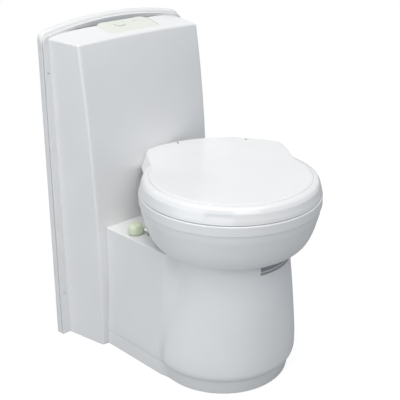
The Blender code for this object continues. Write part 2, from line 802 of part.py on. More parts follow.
# Fan on the inside of the wall plate
fan_y = (flange_back_y - fan_t, flange_back_y)
fan_frame = box("fan_frame", (-fan_half, fan_half), fan_y, (fan_z - fan_half, fan_z + fan_half), "dark")
fan_cut = rod("cut_fan_bore", (0.0, fan_y[0] - through, fan_z), (0.0, fan_y[1] + through, fan_z),
              fan_bore, None, count=ring_segments)
cut(fan_frame, fan_cut)
fan_mount = rod("join_fan_mount", (0.0, fan_y[1] - fan_mount_t, fan_z), (0.0, fan_y[1], fan_z), fan_hub_r, None)
join(fan_frame, fan_mount)
for number in range(3):
    strut = box(f"join_fan_strut_{number}", (-fan_strut_half, fan_strut_half),
                (fan_y[1] - fan_mount_t, fan_y[1]), (fan_hub_r / 2, fan_bore + fan_strut_half), None)
    turn = Matrix.Rotation(math.radians(120.0 * number + 30.0), 4, "Y")
    strut.matrix_world = Matrix.Translation((0.0, 0.0, fan_z)) @ turn
    join(fan_frame, strut)
hub_y = (fan_y[0] + fan_mount_t, fan_y[1] - fan_mount_t - turn_gap)
rotor = rod("fan_rotor", (0.0, hub_y[0], fan_z), (0.0, hub_y[1], fan_z), fan_hub_r, "dark", fan_pivot)
for number in range(fan_blades):
    vane = box(f"join_fan_blade_{number}", (-fan_blade_t / 2, fan_blade_t / 2), (-fan_blade_chord / 2, fan_blade_chord / 2),
               (fan_hub_r - fan_blade_t, fan_tip_r), None)
    pitch = Matrix.Rotation(math.radians(fan_pitch_deg), 4, "Z")
    turn = Matrix.Rotation(2 * math.pi * number / fan_blades, 4, "Y")
    vane.matrix_world = Matrix.Translation((0.0, sum(hub_y) / 2, fan_z)) @ turn @ pitch
    join(rotor, vane)
shaft_y = fan_y[1] - fan_mount_t + fan_shaft
shaft = rod("join_fan_shaft", (0.0, sum(hub_y) / 2, fan_z), (0.0, shaft_y, fan_z), fan_shaft_r, None, fan_pivot)
join(rotor, shaft)
shaft_hole = rod("cut_fan_shaft", (0.0, hub_y[0], fan_z), (0.0, shaft_y + gap, fan_z), fan_shaft_r + fan_shaft_gap, None)
cut(fan_frame, shaft_hole)
tube("fan_lead", cable_path, cable_r, "dark")

# Carbon filter on its tray
filter_tray = skin("filter_tray", [column_slice(z, column_wall + gap, flange_back_y) for z in filter_z[:2]], "grey",
                   smooth=False)
filter_cut = box("cut_filter_tray", (filter_rim - filter_x, filter_x - filter_rim),
                 (filter_y[0] + filter_rim, filter_y[1] - filter_rim), (filter_z[0] - through, filter_z[1] + through), None)
cut(filter_tray, filter_cut)
skin("carbon_filter", [column_slice(z, column_wall + turn_gap, flange_back_y - slide_gap)
                       for z in (filter_z[1] + gap, filter_z[2])], "carbon", smooth=False)

# Pedestal
column_keepout = skin("cut_column_keepout", [column_ring(z, -gap, flange_back_y) for z in column_levels], None)
pedestal = skin("pedestal_shell", [barrel_ring(z, 0.0) for z in barrel_z], "white")
well = skin("cut_well", [circle(well_r, z, count=64) for z in (pedestal_top_z, deck_z + through)], None)
well_outside = skin("cut_well_outside", [circle(well_r + well_wall, z, count=64)
                                         for z in (pedestal_foot_z, deck_z + through)], None)
inner_top_z = pedestal_top_z - plate_t
inner_levels = [z for z in barrel_z if z < inner_top_z] + [inner_top_z]
inner_rings = [barrel_ring(pedestal_foot_z, pedestal_wall, pedestal_foot_z - through)]
inner_rings += [barrel_ring(z, pedestal_wall) for z in inner_levels]
cavity = skin("cut_pedestal_cavity", inner_rings, None)
deck_half = barrel_w[-1] - pedestal_wall
deck_hollow = box("cut_deck_hollow", (-deck_half, deck_half), (0.0, pedestal_back_y + pedestal_wall),
                  (inner_top_z - plate_t, deck_z - plate_t), None)
cut(deck_hollow, well_outside)
hole = rod("cut_pedestal_hole", (0.0, 0.0, inner_top_z - through), (0.0, 0.0, deck_z), pedestal_hole_r, None, count=48)
slit_steps = 14
slit_angles = [math.radians(slit_deg[0] + (slit_deg[1] - slit_deg[0]) * i / slit_steps) for i in range(slit_steps + 1)]
slit_outline = []
for radius, angles in ((stem_at_r + slit_half, slit_angles), (stem_at_r - slit_half, slit_angles[::-1])):
    slit_outline += [(radius * math.cos(a), radius * math.sin(a)) for a in angles]
slit = skin("cut_lever_slit", [lift(slit_outline, deck_z - plate_t - through / 4), lift(slit_outline, deck_z + through)], None)
slot = box("cut_front_slot", (slot_centre_x - slot_half, slot_centre_x + slot_half),
           (slot_back_y - through * 2, slot_back_y), (slot_low_z, pedestal_top_z + through / 2), None)
cut(pedestal, well, cavity, deck_hollow, column_keepout, hole, slit, slot)

inlet = box("inlet_liner", (slot_centre_x - slot_half + gap, slot_centre_x + slot_half - gap),
            (slot_back_y - through * 2, slot_back_y - gap), (slot_low_z + gap, pedestal_top_z - gap), "grey")
inlet_shape = rod("cut_inlet_front", (0.0, 0.0, slot_low_z - through), (0.0, 0.0, pedestal_top_z + through),
                  barrel_r[-1] - turn_gap, None, count=64)
boolean(inlet, inlet_shape, "INTERSECT")
inlet_hollow = box("cut_inlet_hollow", (slot_centre_x - slot_half + gap + slot_wall, slot_centre_x + slot_half - gap - slot_wall),
                   (slot_back_y - through * 2, slot_back_y - gap - slot_wall * 2),
                   (slot_low_z + gap + slot_wall, pedestal_top_z - gap - slot_wall), None)
cut(inlet, inlet_hollow)

# Plinth and floor pan
plinth_y = barrel_y[0]
rings = []
for z, share in ((0.0, 0), (plinth_top_z, 1)):
    rings.append(lift(body_outline(plinth_r[share], plinth_w[share], plinth_y, pedestal_back_y), z))
plinth = skin("plinth", rings, "white")
rings = []
for z, share in ((-through, 0), (plinth_top_z + through, 1)):
    outline = body_outline(plinth_r[share] - plinth_wall, plinth_w[share] - plinth_wall, plinth_y,
                           pedestal_back_y + plinth_wall)
    rings.append(lift(outline, z))
plinth_hollow = skin("cut_plinth_hollow", rings, None)
cut(plinth, plinth_hollow, column_keepout)
pan = body_outline(pan_r, pan_w, plinth_y, pan_back_y)
skin("floor_pan", [lift(pan, 0.0), lift(pan, pan_t)], "grey", smooth=False)

# Bowl shell
bowl = skin("bowl_outer", [bowl_ring(r, z) for r, z in zip(bowl_r, bowl_z)], "white", bowl_pivot)
inside = [bowl_ring(between(bowl_floor_z, bowl_z, bowl_r) - 2 * bowl_wall, bowl_floor_z)]
for z in bowl_z[2:10]:
    inside.append(bowl_ring(between(z, bowl_z, bowl_r) - bowl_wall, z))
inside.append(bowl_ring(bowl_r[9] - bowl_wall, lip_low_z))
bowl_hollow = skin("cut_bowl_hollow", inside, None, bowl_pivot)
bay_walls = box("cut_bay_walls", (-bay_half - bowl_wall, bay_half + bowl_wall), (bay_front_y - bowl_wall, bay_back_y),
                (bay_floor_z - bowl_wall, bowl_rim_z + through), None, bowl_pivot)
cut(bowl_hollow, bay_walls)
bay = box("cut_bay", (-bay_half, bay_half), (bay_front_y, bay_back_y), (bay_floor_z, bowl_rim_z + through), None, bowl_pivot)
mouth = skin("cut_mouth", [oval(mouth_a, mouth_b, z, mouth_y, mouth_power) for z in (ledge_z, bowl_rim_z + through)],
             None, bowl_pivot)
ledge = skin("cut_mouth_ledge", [oval(mouth_a - ledge_w, mouth_b - ledge_w, z, mouth_y, mouth_power)
                                 for z in (lip_low_z - plate_t, bowl_rim_z + through)], None, bowl_pivot)
bowl_floor_hole = rod("cut_bowl_floor", (0.0, 0.0, bowl_z[0] - through), (0.0, 0.0, bowl_floor_z + plate_t),
                      bowl_hole_r, None, bowl_pivot, ring_segments)
drain_hole = rod("cut_drain_hole", (0.0, drain_y, bowl_z[0] - through), (0.0, drain_y, dish_z[-1]),
                 drain_r + turn_gap, None, bowl_pivot)
cut(bowl, bowl_hollow, bay, mouth, ledge, bowl_floor_hole, drain_hole)

# Bowl liner
flange_a, flange_b = mouth_a - slide_gap, mouth_b - slide_gap
inner_flange_a = liner_a[0] - liner_wall
inner_flange_b = liner_b[0] - liner_wall
rings = [oval(inner_flange_a, inner_flange_b, liner_flange_z, mouth_y, mouth_power),
         oval(flange_a, flange_b, liner_flange_z, mouth_y, mouth_power),
         oval(flange_a, flange_b, liner_z[0], mouth_y, mouth_power)]
powers = (mouth_power, 2.2, 2.1, 2.0, 2.0, 2.0, 2.0, 2.0)
outer = list(zip(liner_a, liner_b, liner_z, liner_y, powers))
funnel = outer[:liner_split + 1]
rings += [oval(a, b, z, y, n) for a, b, z, y, n in funnel]
rings += [oval(a - liner_wall, b - liner_wall, z, y, n) for a, b, z, y, n in funnel[::-1][:-1]]
liner = skin("bowl_liner", rings, "white", bowl_pivot, closed=True)
chute = [(a, b, min(z, liner_z[liner_split] - gap), y, n) for a, b, z, y, n in outer[liner_split:]]
rings = [oval(a, b, z, y, n) for a, b, z, y, n in chute]
rings += [oval(a - liner_wall, b - liner_wall, z, y, n) for a, b, z, y, n in chute[::-1]]
liner_chute = skin("bowl_chute", rings, "white", bowl_pivot, closed=True)
cut(liner, drain_hole)
cut(liner_chute, drain_hole)

# Urine diverter and strainer
dish = list(zip(dish_a, dish_b, dish_z, dish_y))
rings = [oval(a, b, z, y, count=28) for a, b, z, y in dish]
rings.append(oval(drain_r, drain_r, swivel_z[1] + gap, drain_y, count=28))
rings.append(oval(drain_bore, drain_bore, swivel_z[1] + gap, drain_y, count=28))
rings.append(oval(drain_bore, drain_bore, dish_z[-1] + dish_wall, drain_y, count=28))
for a, b, z, y in dish[-2::-1]:
    top = dish_z[0] if z == dish_z[0] else z + dish_wall / 2
    rings.append(oval(a - dish_wall, b - dish_wall, top, y, count=28))
skin("urine_diverter", rings, "white", bowl_pivot, closed=True)
strainer = rod("urine_strainer", (0.0, drain_y, strainer_z), (0.0, drain_y, strainer_z + strainer_t),
               strainer_r, "steel", bowl_pivot)
for number in range(6):
    a = 2 * math.pi * number / 6
    x, y = strainer_ring_r * math.cos(a), drain_y + strainer_ring_r * math.sin(a)
    cut(strainer, rod(f"cut_strainer_{number}", (x, y, strainer_z - through), (x, y, strainer_z + through),
                      strainer_hole_r, None, bowl_pivot, 6))

# Swivel ring, race, trough and collar
race_low_z = pedestal_top_z + gap
turned("bearing_race", [(race_r[1], race_top_z), (race_r[1], race_low_z), (race_r[0], race_low_z), (race_r[0], race_top_z)],
       "grey", count=48)
swivel = turned("swivel_ring", [(swivel_r, swivel_z[1]), (swivel_r, swivel_z[0]), (spigot_r[1], swivel_z[0]),
                                (spigot_r[1], spigot_low_z), (spigot_r[0], spigot_low_z), (spigot_r[0], swivel_z[1])],
                "grey", bowl_pivot, count=48)
nozzle = rod("join_nozzle", (0.0, drain_y, nozzle_low_z), (0.0, drain_y, sum(swivel_z) / 2), nozzle_r, None, bowl_pivot)
nozzle_hole = rod("cut_nozzle", (0.0, drain_y, nozzle_low_z - through), (0.0, drain_y, swivel_z[1] + through / 4),
                  nozzle_bore, None, bowl_pivot)
cut(join(swivel, nozzle), nozzle_hole)
hang_z = pedestal_top_z + gap
trough = turned("urine_trough", [
    (trough_flange_r, hang_z + trough_flange_t), (trough_flange_r, hang_z), (trough_outer_r[1], hang_z),
    (trough_outer_r[1], trough_floor_z[0]), (trough_inner_r[0], trough_floor_z[0]), (trough_inner_r[0], trough_inner_top_z),
    (trough_inner_r[1], trough_inner_top_z), (trough_inner_r[1], trough_floor_z[1]), (trough_outer_r[0], trough_floor_z[1]),
    (trough_outer_r[0], hang_z + trough_flange_t)], "grey", count=48)
nipple = rod("join_nipple", (*nipple_at, nipple_low_z), (*nipple_at, sum(trough_floor_z) / 2), nipple_r, None)
nipple_hole = rod("cut_nipple", (*nipple_at, nipple_low_z - through), (*nipple_at, trough_floor_z[1] + through / 4),
                  nipple_bore, None, count=12)
cut(join(trough, nipple), nipple_hole)
hang_low_z = trough_inner_top_z + gap
turned("duct_collar", [
    (collar_hang_r, collar_z[1]), (collar_hang_r, hang_low_z), (collar_r[1], hang_low_z), (collar_r[1], collar_shelf_z),
    (collar_shelf_r, collar_shelf_z), (collar_shelf_r, collar_z[0]), (collar_r[0], collar_z[0]), (collar_r[0], collar_z[1])],
    "cream")
turned("lip_seal", [(seal_r[1], seal_z[1]), (seal_r[1], seal_z[0]), (seal_r[0], seal_z[0]), (seal_r[0], seal_z[1])], "rubber")

# Blade, guide and outlet
blade = box("valve_blade", (-blade_half, blade_half), blade_y, blade_z, "steel")
peg_at = (peg_arm * math.cos(math.radians(peg_deg)), peg_arm * math.sin(math.radians(peg_deg)))
ear = box("join_blade_ear", ear_x, (peg_at[1] - ear_half, peg_at[1] + ear_half), blade_z, None)
ear_slot = box("cut_ear_slot", ear_slot_x, (peg_at[1] - ear_slot_half, peg_at[1] + ear_slot_half),
               (blade_z[0] - through / 4, blade_z[1] + through / 4), None)
cut(join(blade, ear), ear_slot)
guide = box("blade_guide", (-guide_half, guide_half), guide_y, guide_z, "cream")
pieces = [
    box("join_rail_right", (rail_inner, guide_half), guide_y, (guide_z[0] + gap, rail_top_z), None),
    box("join_rail_left", (-guide_half, -rail_inner), (rail_break_y, guide_y[1]), (guide_z[0] + gap, rail_top_z), None),
    box("join_rail_front", (-guide_half, -rail_inner), (guide_y[0], -rail_break_y), (guide_z[0] + gap, rail_top_z), None),
    box("join_wing_front", wing_front[:2], wing_front[2:], guide_z, None),
    box("join_wing_back", wing_back[:2], wing_back[2:], guide_z, None),
]
for number, (x, y) in enumerate(post_at, 1):
    pieces.append(rod(f"join_guide_post_{number}", (x, y, guide_z[0] + gap), (x, y, inner_top_z - gap), post_r, None, count=12))
bore = rod("cut_outlet", (0.0, 0.0, guide_z[0] - through), (0.0, 0.0, guide_z[1] + gap), outlet_bore, None, count=ring_segments)
cut(join(guide, *pieces), bore)
outlet_top_z = guide_z[0] - gap
turned("outlet_duct", [(outlet_bore + outlet_wall, outlet_top_z), (outlet_bore + outlet_wall, outlet_low_z),
                       (outlet_bore, outlet_low_z), (outlet_bore, outlet_top_z)], "cream")

# Valve lever and knob
lever = turned("valve_lever", [(lever_hub_r[1], lever_z[1]), (lever_hub_r[1], lever_z[0]), (lever_hub_r[0], lever_z[0]),
                               (lever_hub_r[0], lever_z[1])], "steel", lever_pivot)
lever.matrix_parent_inverse = Matrix.Translation((0.0, 0.0, -lever_z[0]))
to_knob = Matrix.Rotation(math.radians(lever_deg), 4, "Z")
to_peg = Matrix.Rotation(math.radians(peg_deg), 4, "Z")
hub_mid = sum(lever_hub_r) / 2
arm = box("join_lever_arm", (hub_mid, stem_at_r), (-lever_arm_half, lever_arm_half), (lever_z[0] + gap, lever_z[1] - gap), None)
arm.matrix_world = to_knob
stem = rod("join_lever_stem", (stem_at_r, 0.0, lever_z[0]), (stem_at_r, 0.0, stem_z + stem_r), stem_r + gap, None)
stem.matrix_world = to_knob
reach = rod("join_lever_reach", (stem_at_r - stem_r / 2, 0.0, stem_z), (stem_end_r, 0.0, stem_z), stem_r, None)
reach.matrix_world = to_knob
peg_bar = box("join_peg_arm", (hub_mid, peg_arm), (-lever_arm_half, lever_arm_half), (lever_z[0] + gap, lever_z[1] - gap), None)
peg_bar.matrix_world = to_peg
peg = rod("join_peg", (peg_arm, 0.0, blade_z[0] + gap), (peg_arm, 0.0, lever_z[1]), peg_r, None)
peg.matrix_world = to_peg
join(lever, arm, stem, reach, peg_bar, peg)

rings = []
for z, share in zip(knob_z, knob_shares):
    ring = []
    for x, y, level in oval(knob_half[0] * share, knob_half[1] * share, z, count=24):
        pull = 1 - knob_taper * max(-x / knob_half[0], 0.0)
        ring.append(to_knob @ Vector((knob_at_r + x, y * pull, level)))
    rings.append(ring)
knob = skin("lever_knob", rings, "green", lever_pivot)
knob_bore = rod("cut_knob_bore", to_knob @ Vector((knob_at_r - 2 * knob_half[0], 0.0, stem_z)),
                to_knob @ Vector((knob_bore_end_r, 0.0, stem_z)), stem_r + gap, None, lever_pivot)
cut(knob, knob_bore)

# Hinge posts and pins
outline = [(pin_y + post_stem_half, bay_floor_z + gap)]
steps = 20
post_start = -math.acos(post_stem_half / post_head_r)
for i in range(steps + 1):
    a = post_start + (math.pi - 2 * post_start) * i / steps
    outline.append((pin_y + post_head_r * math.cos(a), pin_z + post_head_r * math.sin(a)))
outline.append((pin_y - post_stem_half, bay_floor_z + gap))
for side, sign in (("left", -1), ("right", 1)):
    xs = [sign * x for x in post_x]
    post = skin(f"hinge_post_{side}", [[(x, y, z) for y, z in outline] for x in xs], "white", bowl_pivot, smooth=False)
    eye = rod(f"cut_post_eye_{side}", (sign * (post_x[0] - through / 4), pin_y, pin_z),
              (sign * (post_x[1] + through / 4), pin_y, pin_z), pin_r + gap, None, bowl_pivot)
    cut(post, eye)
    rod(f"hinge_pin_{side}", (sign * pin_x[0], pin_y, pin_z), (sign * pin_x[1], pin_y, pin_z), pin_r, "steel", bowl_pivot)


# Seat
def seat_ring(inset, z):
    ring = []
    for x, y, level in oval(seat_outer_r - inset, seat_outer_r - inset, z):
        ring.append((x, min(y, seat_back_y - inset), level))
    return ring


def hole_ring(grow, z):
    ring = []
    for x, y, level in seat_ring(0.0, z):
        c, s = x / seat_hole_a, (y - seat_hole_y) / seat_hole_b
        k = 1 / math.hypot(c, s)
        spread = 1 + grow / seat_hole_b
        ring.append((x * k * spread, seat_hole_y + (y - seat_hole_y) * k * spread, level))
    return ring


seat = skin("seat", [
    seat_ring(seat_edge, seat_z[0]), seat_ring(0.0, seat_z[0] + seat_edge), seat_ring(0.0, seat_z[1] - 2 * seat_edge),
    seat_ring(seat_edge / 2, seat_z[1] - seat_edge / 2), seat_ring(2 * seat_edge, seat_z[1]),
    hole_ring(seat_crown, seat_z[1]), hole_ring(seat_edge / 2, seat_z[1] - seat_edge / 2),
    hole_ring(0.0, seat_z[1] - 2 * seat_edge), hole_ring(0.0, seat_z[0])], "white", seat_pivot, closed=True)
seat.matrix_parent_inverse = Matrix.Translation((0.0, -pin_y, -pin_z))
for side, sign in (("left", -1), ("right", 1)):
    xs = sorted(sign * x for x in arm_x)
    arm = box(f"join_seat_arm_{side}", xs, (arm_front_y, pin_y), arm_z, None, seat_pivot)
    knuckle = rod(f"join_knuckle_{side}", (xs[0], pin_y, pin_z), (xs[1], pin_y, pin_z), knuckle_r, None, seat_pivot)
    join(seat, arm, knuckle)
    eye = rod(f"cut_knuckle_eye_{side}", (xs[0] - through / 4, pin_y, pin_z), (xs[1] + through / 4, pin_y, pin_z),
              pin_r + slide_gap, None, seat_pivot)
    cut(seat, eye)
for number, a_deg in enumerate(bumper_degs, 1):
    a = math.radians(a_deg)
    x, y = bumper_at_r * math.cos(a), bumper_at_r * math.sin(a)
    rod(f"seat_bumper_{number}", (x, y, bowl_rim_z + gap), (x, y, seat_z[0] - gap), bumper_r, "rubber", seat_pivot, 12)

# Lid
rings = [lid_outline(lid_r - edge, block_half + flare, block_back_r - back, lid_top_z - below)
         for edge, flare, back, below in zip(lid_edge_inset, block_flare, block_back_inset, lid_below_top)]
lid = skin("lid", rings, "white", lid_pivot)
rings = [lid_outline(lid_r - edge, block_half + flare, block_back_r - lid_t, lid_top_z - below)
         for edge, flare, below in zip(hollow_edge_inset, hollow_flare, hollow_below_top)]
lid_hollow = skin("cut_lid_hollow", rings, None, lid_pivot)
line_tool = turned("cut_ring_line", [(ring_line_r[1], lid_top_z + through), (ring_line_r[1], lid_top_z - ring_line_depth),
                                     (ring_line_r[0], lid_top_z - ring_line_depth), (ring_line_r[0], lid_top_z + through)],
                   None, lid_pivot, count=60)
line_stop = box("cut_ring_line_end", (-lid_r, lid_r), (ring_line_back_y, bay_back_y), (lid_low_z, lid_top_z + 2 * through),
                None, lid_pivot)
cut(line_tool, line_stop)
cut(lid, lid_hollow)
for side, sign in (("left", -1), ("right", 1)):
    xs = sorted(sign * x for x in boss_x)
    web = box(f"join_boss_web_{side}", xs, (pin_y - boss_r, pin_y + boss_r), (pin_z, lid_top_z - lid_t / 2), None, lid_pivot)
    boss = rod(f"join_boss_{side}", (xs[0], pin_y, pin_z), (xs[1], pin_y, pin_z), boss_r, None, lid_pivot)
    eye = rod(f"cut_boss_eye_{side}", (xs[0] - through / 4, pin_y, pin_z), (xs[1] + through / 4, pin_y, pin_z),
              pin_r + slide_gap, None, lid_pivot)
    xs = sorted(sign * x for x in notch_x)
    notch = box(f"cut_lid_notch_{side}", xs, (notch_front_y, bay_back_y), (lid_low_z - through, lid_top_z + through), None, lid_pivot)
    join(lid, web, boss)
    cut(lid, eye, notch)
cut(lid, line_tool)
grip = [(lid_r + through, grip_z[0] - gap), (lid_r + through, grip_z[1]), (lid_r - grip_depth, grip_z[1]), (lid_r, grip_z[0])]
turn = Matrix.Rotation(math.radians(grip_deg), 4, "Z")
grip_cut = skin("cut_grip", [[turn @ Vector((r, y, z)) for r, z in grip] for y in (-grip_half, grip_half)], None, lid_pivot)
cut(lid, grip_cut)
for number, (x, y) in enumerate(lid_bumper_at, 1):
    rod(f"lid_bumper_{number}", (x, y, seat_z[1] + gap), (x, y, lid_top_z - lid_t - gap), lid_bumper_r, "rubber", lid_pivot, 12)

# Collection tray, bin, canister, cap and hose
for side, sign in (("left", -1), ("right", 1)):
    xs = sorted(sign * x for x in tray_rail_x)
    rail = box(f"tray_rail_{side}", xs, tray_rail_y, (pan_t + gap, tray_rail_top), "steel")
tray = body_outline(tray_r, tray_w, plinth_y, tray_y)
tray_inner = body_outline(tray_r - tray_wall, tray_w - tray_wall, plinth_y, tray_y - tray_wall)
skin("slide_tray", [lift(tray, tray_z[0]), lift(tray, tray_z[2]), lift(tray_inner, tray_z[2]), lift(tray_inner, tray_z[1])],
     "grey", smooth=False)
bin_low = tray_z[1] + gap
outer = body_outline(bin_r, bin_w, plinth_y, bin_back_y)
inner = body_outline(bin_r - bin_wall, bin_w - bin_wall, plinth_y, bin_back_y - bin_wall)
skin("solids_bin", [lift(outer, bin_low), lift(outer, bin_top_z), lift(inner, bin_top_z), lift(inner, bin_low + bin_wall)],
     "dark", smooth=False)


def can_ring(inset, z):
    """Rounded rectangle, six points to each corner."""
    half, low, high = can_half - inset, can_y[0] + inset, can_y[1] - inset
    radius = can_corner - inset
    corners = ((half, low, -90.0), (half, high, 0.0), (-half, high, 90.0), (-half, low, 180.0))
    ring = []
    for x, y, start in corners:
        cx = x - math.copysign(radius, x)
        cy = y + (radius if y == low else -radius)
        for i in range(6):
            a = math.radians(start + 90.0 * i / 5)
            ring.append((cx + radius * math.cos(a), cy + radius * math.sin(a), z))
    return ring


def neck_ring(radius, z):
    ring = circle(radius, z, neck_at, 24)
    return ring[21:] + ring[:21]


neck_inner = neck_r - can_wall
skin("urine_canister", [
    can_ring(0.0, bin_low), can_ring(0.0, can_z[0]), can_ring(can_wall * 2, can_z[0] + can_wall * 2), neck_ring(neck_r, can_z[1]),
    neck_ring(neck_r, can_z[2]), neck_ring(neck_inner, can_z[2]), neck_ring(neck_inner, can_z[1] - can_wall),
    can_ring(can_wall * 3, can_z[0] + can_wall * 2 - can_wall), can_ring(can_wall, can_z[0] - can_wall),
    can_ring(can_wall, bin_low + can_wall)], "cream")
turned("canister_cap", [
    (cap_r, cap_top_z), (cap_r, cap_low_z), (neck_r + slide_gap, cap_low_z), (neck_r + slide_gap, cap_web_z[0]),
    (cap_bore, cap_web_z[0]), (cap_bore, cap_web_z[1]), (neck_r, cap_top_z)], "green", cap_pivot, neck_at, 24)
tube("urine_hose", hose_path + ((neck_at[0], neck_at[1] - hose_r, hose_path[-1][2] - gap),
                                (neck_at[0], neck_at[1], outlet_low_z)), hose_r, "cream")
tube("tray_handle", ((-handle_half, tray_y + gap, handle_z), (-handle_half, (tray_y + handle_back_y) / 2, handle_z),
                     (-handle_half + 2 * handle_r, handle_back_y, handle_z), (0.0, handle_back_y, handle_z),
                     (handle_half - 2 * handle_r, handle_back_y, handle_z),
                     (handle_half, (tray_y + handle_back_y) / 2, handle_z), (handle_half, tray_y + gap, handle_z)),
     handle_r, "steel", 3)
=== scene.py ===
"""The urine-diverting toilet in its real finishes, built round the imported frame.

Metres, +Z up, +Y back to the wall, -Y front. Rings of points are worked out as whole arrays, x to the right.
The bowl, seat and lid are worked out in the bowl's own frame, lateral X and rear +Y, and then turned
about the swivel axis.
"""

import math

import bpy
import numpy as np
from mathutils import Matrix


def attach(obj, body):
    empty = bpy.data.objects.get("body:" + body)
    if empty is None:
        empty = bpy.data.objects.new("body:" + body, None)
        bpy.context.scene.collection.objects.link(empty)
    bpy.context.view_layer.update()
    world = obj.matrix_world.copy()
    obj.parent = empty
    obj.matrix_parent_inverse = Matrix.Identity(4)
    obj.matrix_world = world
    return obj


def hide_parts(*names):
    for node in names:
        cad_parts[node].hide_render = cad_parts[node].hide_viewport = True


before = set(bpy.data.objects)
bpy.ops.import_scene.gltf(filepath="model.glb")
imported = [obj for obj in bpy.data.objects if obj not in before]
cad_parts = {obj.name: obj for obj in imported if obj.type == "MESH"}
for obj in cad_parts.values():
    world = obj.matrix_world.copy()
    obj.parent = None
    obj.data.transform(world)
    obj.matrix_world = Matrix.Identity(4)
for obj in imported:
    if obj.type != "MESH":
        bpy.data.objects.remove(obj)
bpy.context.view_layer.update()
scene = bpy.context.scene

# Sizes shared by the pieces
gap = 0.0003
slide_gap = 0.0005
turn_gap = 0.001
through = 0.02
bowl_turn = math.radians(-35.5)

# Wall plate and service column
plate_half = (0.206, 0.200)
plate_corner_z = 0.7250
plate_rise = 0.0215
# Rounding over the front edge: how deep it starts and how far it drops
plate_round = (0.0125, 0.0085)
plate_corner_r = 0.015
plate_y = (0.357, 0.371)
# The raised land behind the shadow groove
land_inset = 0.009
land_y = 0.3538
land_drop = 0.001
plate_edge = 0.0016
flange_y = (0.3505, 0.3535)
flange_edge = 0.0010
flange_inset = 0.0005
# Half widths at the foot and at the top
column_front = (0.167, 0.171)
column_back = (0.185, 0.187)
column_front_z = 0.706
column_corner_y = 0.2461
column_lean = 0.0226
column_sag = 0.0668
column_bulge = 0.0056
column_swell = 0.0042
column_edge_r = 0.006
column_top_edge = 0.0032
column_top_y = (0.2631, 0.3505)
column_top_z = (0.7070, 0.7125)
column_top_rise = (0.0047, 0.0240)
column_middle = (0.0, 0.315)
column_wall = 0.004
hollow_edge = 0.001
# Opening for the tray in the column: half width and height
column_door = (0.1482, 0.285)
column_door_y = 0.20
# Points along half of the column's front, its corner and its side
ring_parts = (26, 9, 22)
# Opening in the plate: half width, low and high edge; then the port's height and radius
tray_opening = (0.125, 0.012, 0.250)
fan_port = (0.520, 0.043)
tray_opening_corner = 0.004
screw_at = ((-0.1935, 0.110), (0.1935, 0.110), (-0.1925, 0.640), (0.1925, 0.640))
screw_hole_r = 0.0021
screw_skin = 0.0007
# Radius and depth of the holes for the screws' heads
screw_head = (0.0045, 0.0043)

# Panel, button and lens in the column's top
panel_mid = (-0.001, 0.3100)
panel_half = (0.0725, 0.0285)
panel_sunk = 0.0010
panel_t = 0.0020
panel_corner = 0.016
pocket_depth = 0.0033
window_inset = 0.004
window_corner = 0.0125
window_depth = 0.024
over_panel = 0.03
stud_x = (-0.0428, 0.0628)
stud_y = (0.2992, 0.3358)
stud_low_z = 0.6979
stud_r = 0.0025
button_at = (-0.020, 0.318)
button_half = (0.014, 0.009)
button_proud = 0.0012
button_edge = 0.0008
button_dish = 0.0006
button_under = 0.0045
stem_r = 0.003
stem_reach = 0.021
lens_at = (0.035, 0.318)
lens_half = (0.016, 0.006)
lens_edge = 0.0005
seat_bevel = 0.0006

# Pedestal and plinth
deck_z = 0.305
pedestal_top_z = 0.289
barrel_z = (0.0353, 0.038, 0.045, 0.055, 0.075, 0.110, 0.150, 0.218, 0.262, 0.289, 0.305)
barrel_r = (0.1570, 0.1590, 0.1630, 0.1645, 0.1635, 0.1590, 0.1530, 0.1420, 0.1345, 0.1310, 0.1310)
barrel_y = (0.0190, 0.0190, 0.0190, 0.0190, 0.0180, 0.0150, 0.0115, 0.0055, 0.0020, 0.0000, 0.0000)
barrel_w = (0.1515, 0.1525, 0.1533, 0.1535, 0.1530, 0.1525, 0.1520, 0.1512, 0.1506, 0.1502, 0.1500)
blend_deg = (5.0, 18.0)
pedestal_back_y = 0.262
pedestal_wall = 0.004
pedestal_edge = 0.0018
well_r = 0.158
ring_hole_r = 0.1015
race_clear_r = 0.1285
slit_deg = (62.0, 130.0)
slit_r = (0.1695, 0.1785)
slit_depth = 0.009
slot_x = (-0.041, 0.053)
slot_low_z = 0.2765
slot_back_y = -0.108
liner_t = 0.001
liner_back_t = 0.002
blade_z = (0.2800, 0.2852)
plinth_top_z = 0.035
plinth_r = (0.1485, 0.1545)
plinth_w = (0.1520, 0.1528)
plinth_foot = 0.001

# Bowl shell and mouth
bowl_z = (0.3055, 0.3075, 0.3105, 0.3150, 0.3220, 0.3340, 0.350, 0.370, 0.385, 0.3985)
bowl_r = (0.1460, 0.1515, 0.1565, 0.1620, 0.1680, 0.1745, 0.1805, 0.1858, 0.1895, 0.1911)
bowl_boss = (0.126, 0.297)
band_r = 0.1930
band_z = (0.3995, 0.4208)
band_edge = 0.0032
band_foot = 0.0006
bowl_wall = 0.004
# Radius and height where the hollow ends; the floor's hole and the drain give radius and top
bowl_inner_top = (0.1870, 0.4105)
bay_half = 0.1605
bay_y = (0.108, 0.25)
bay_floor_z = 0.333
mouth_y = -0.034
mouth_half = (0.150, 0.130)
mouth_power = 2.3
mouth_edge = 0.0012
ledge_z = 0.4155
ledge_low_z = 0.407
ledge_w = 0.0065
bowl_low_z = 0.277
floor_hole = (0.062, 0.315)
drain_y = -0.084
drain_hole = (0.010, 0.352)

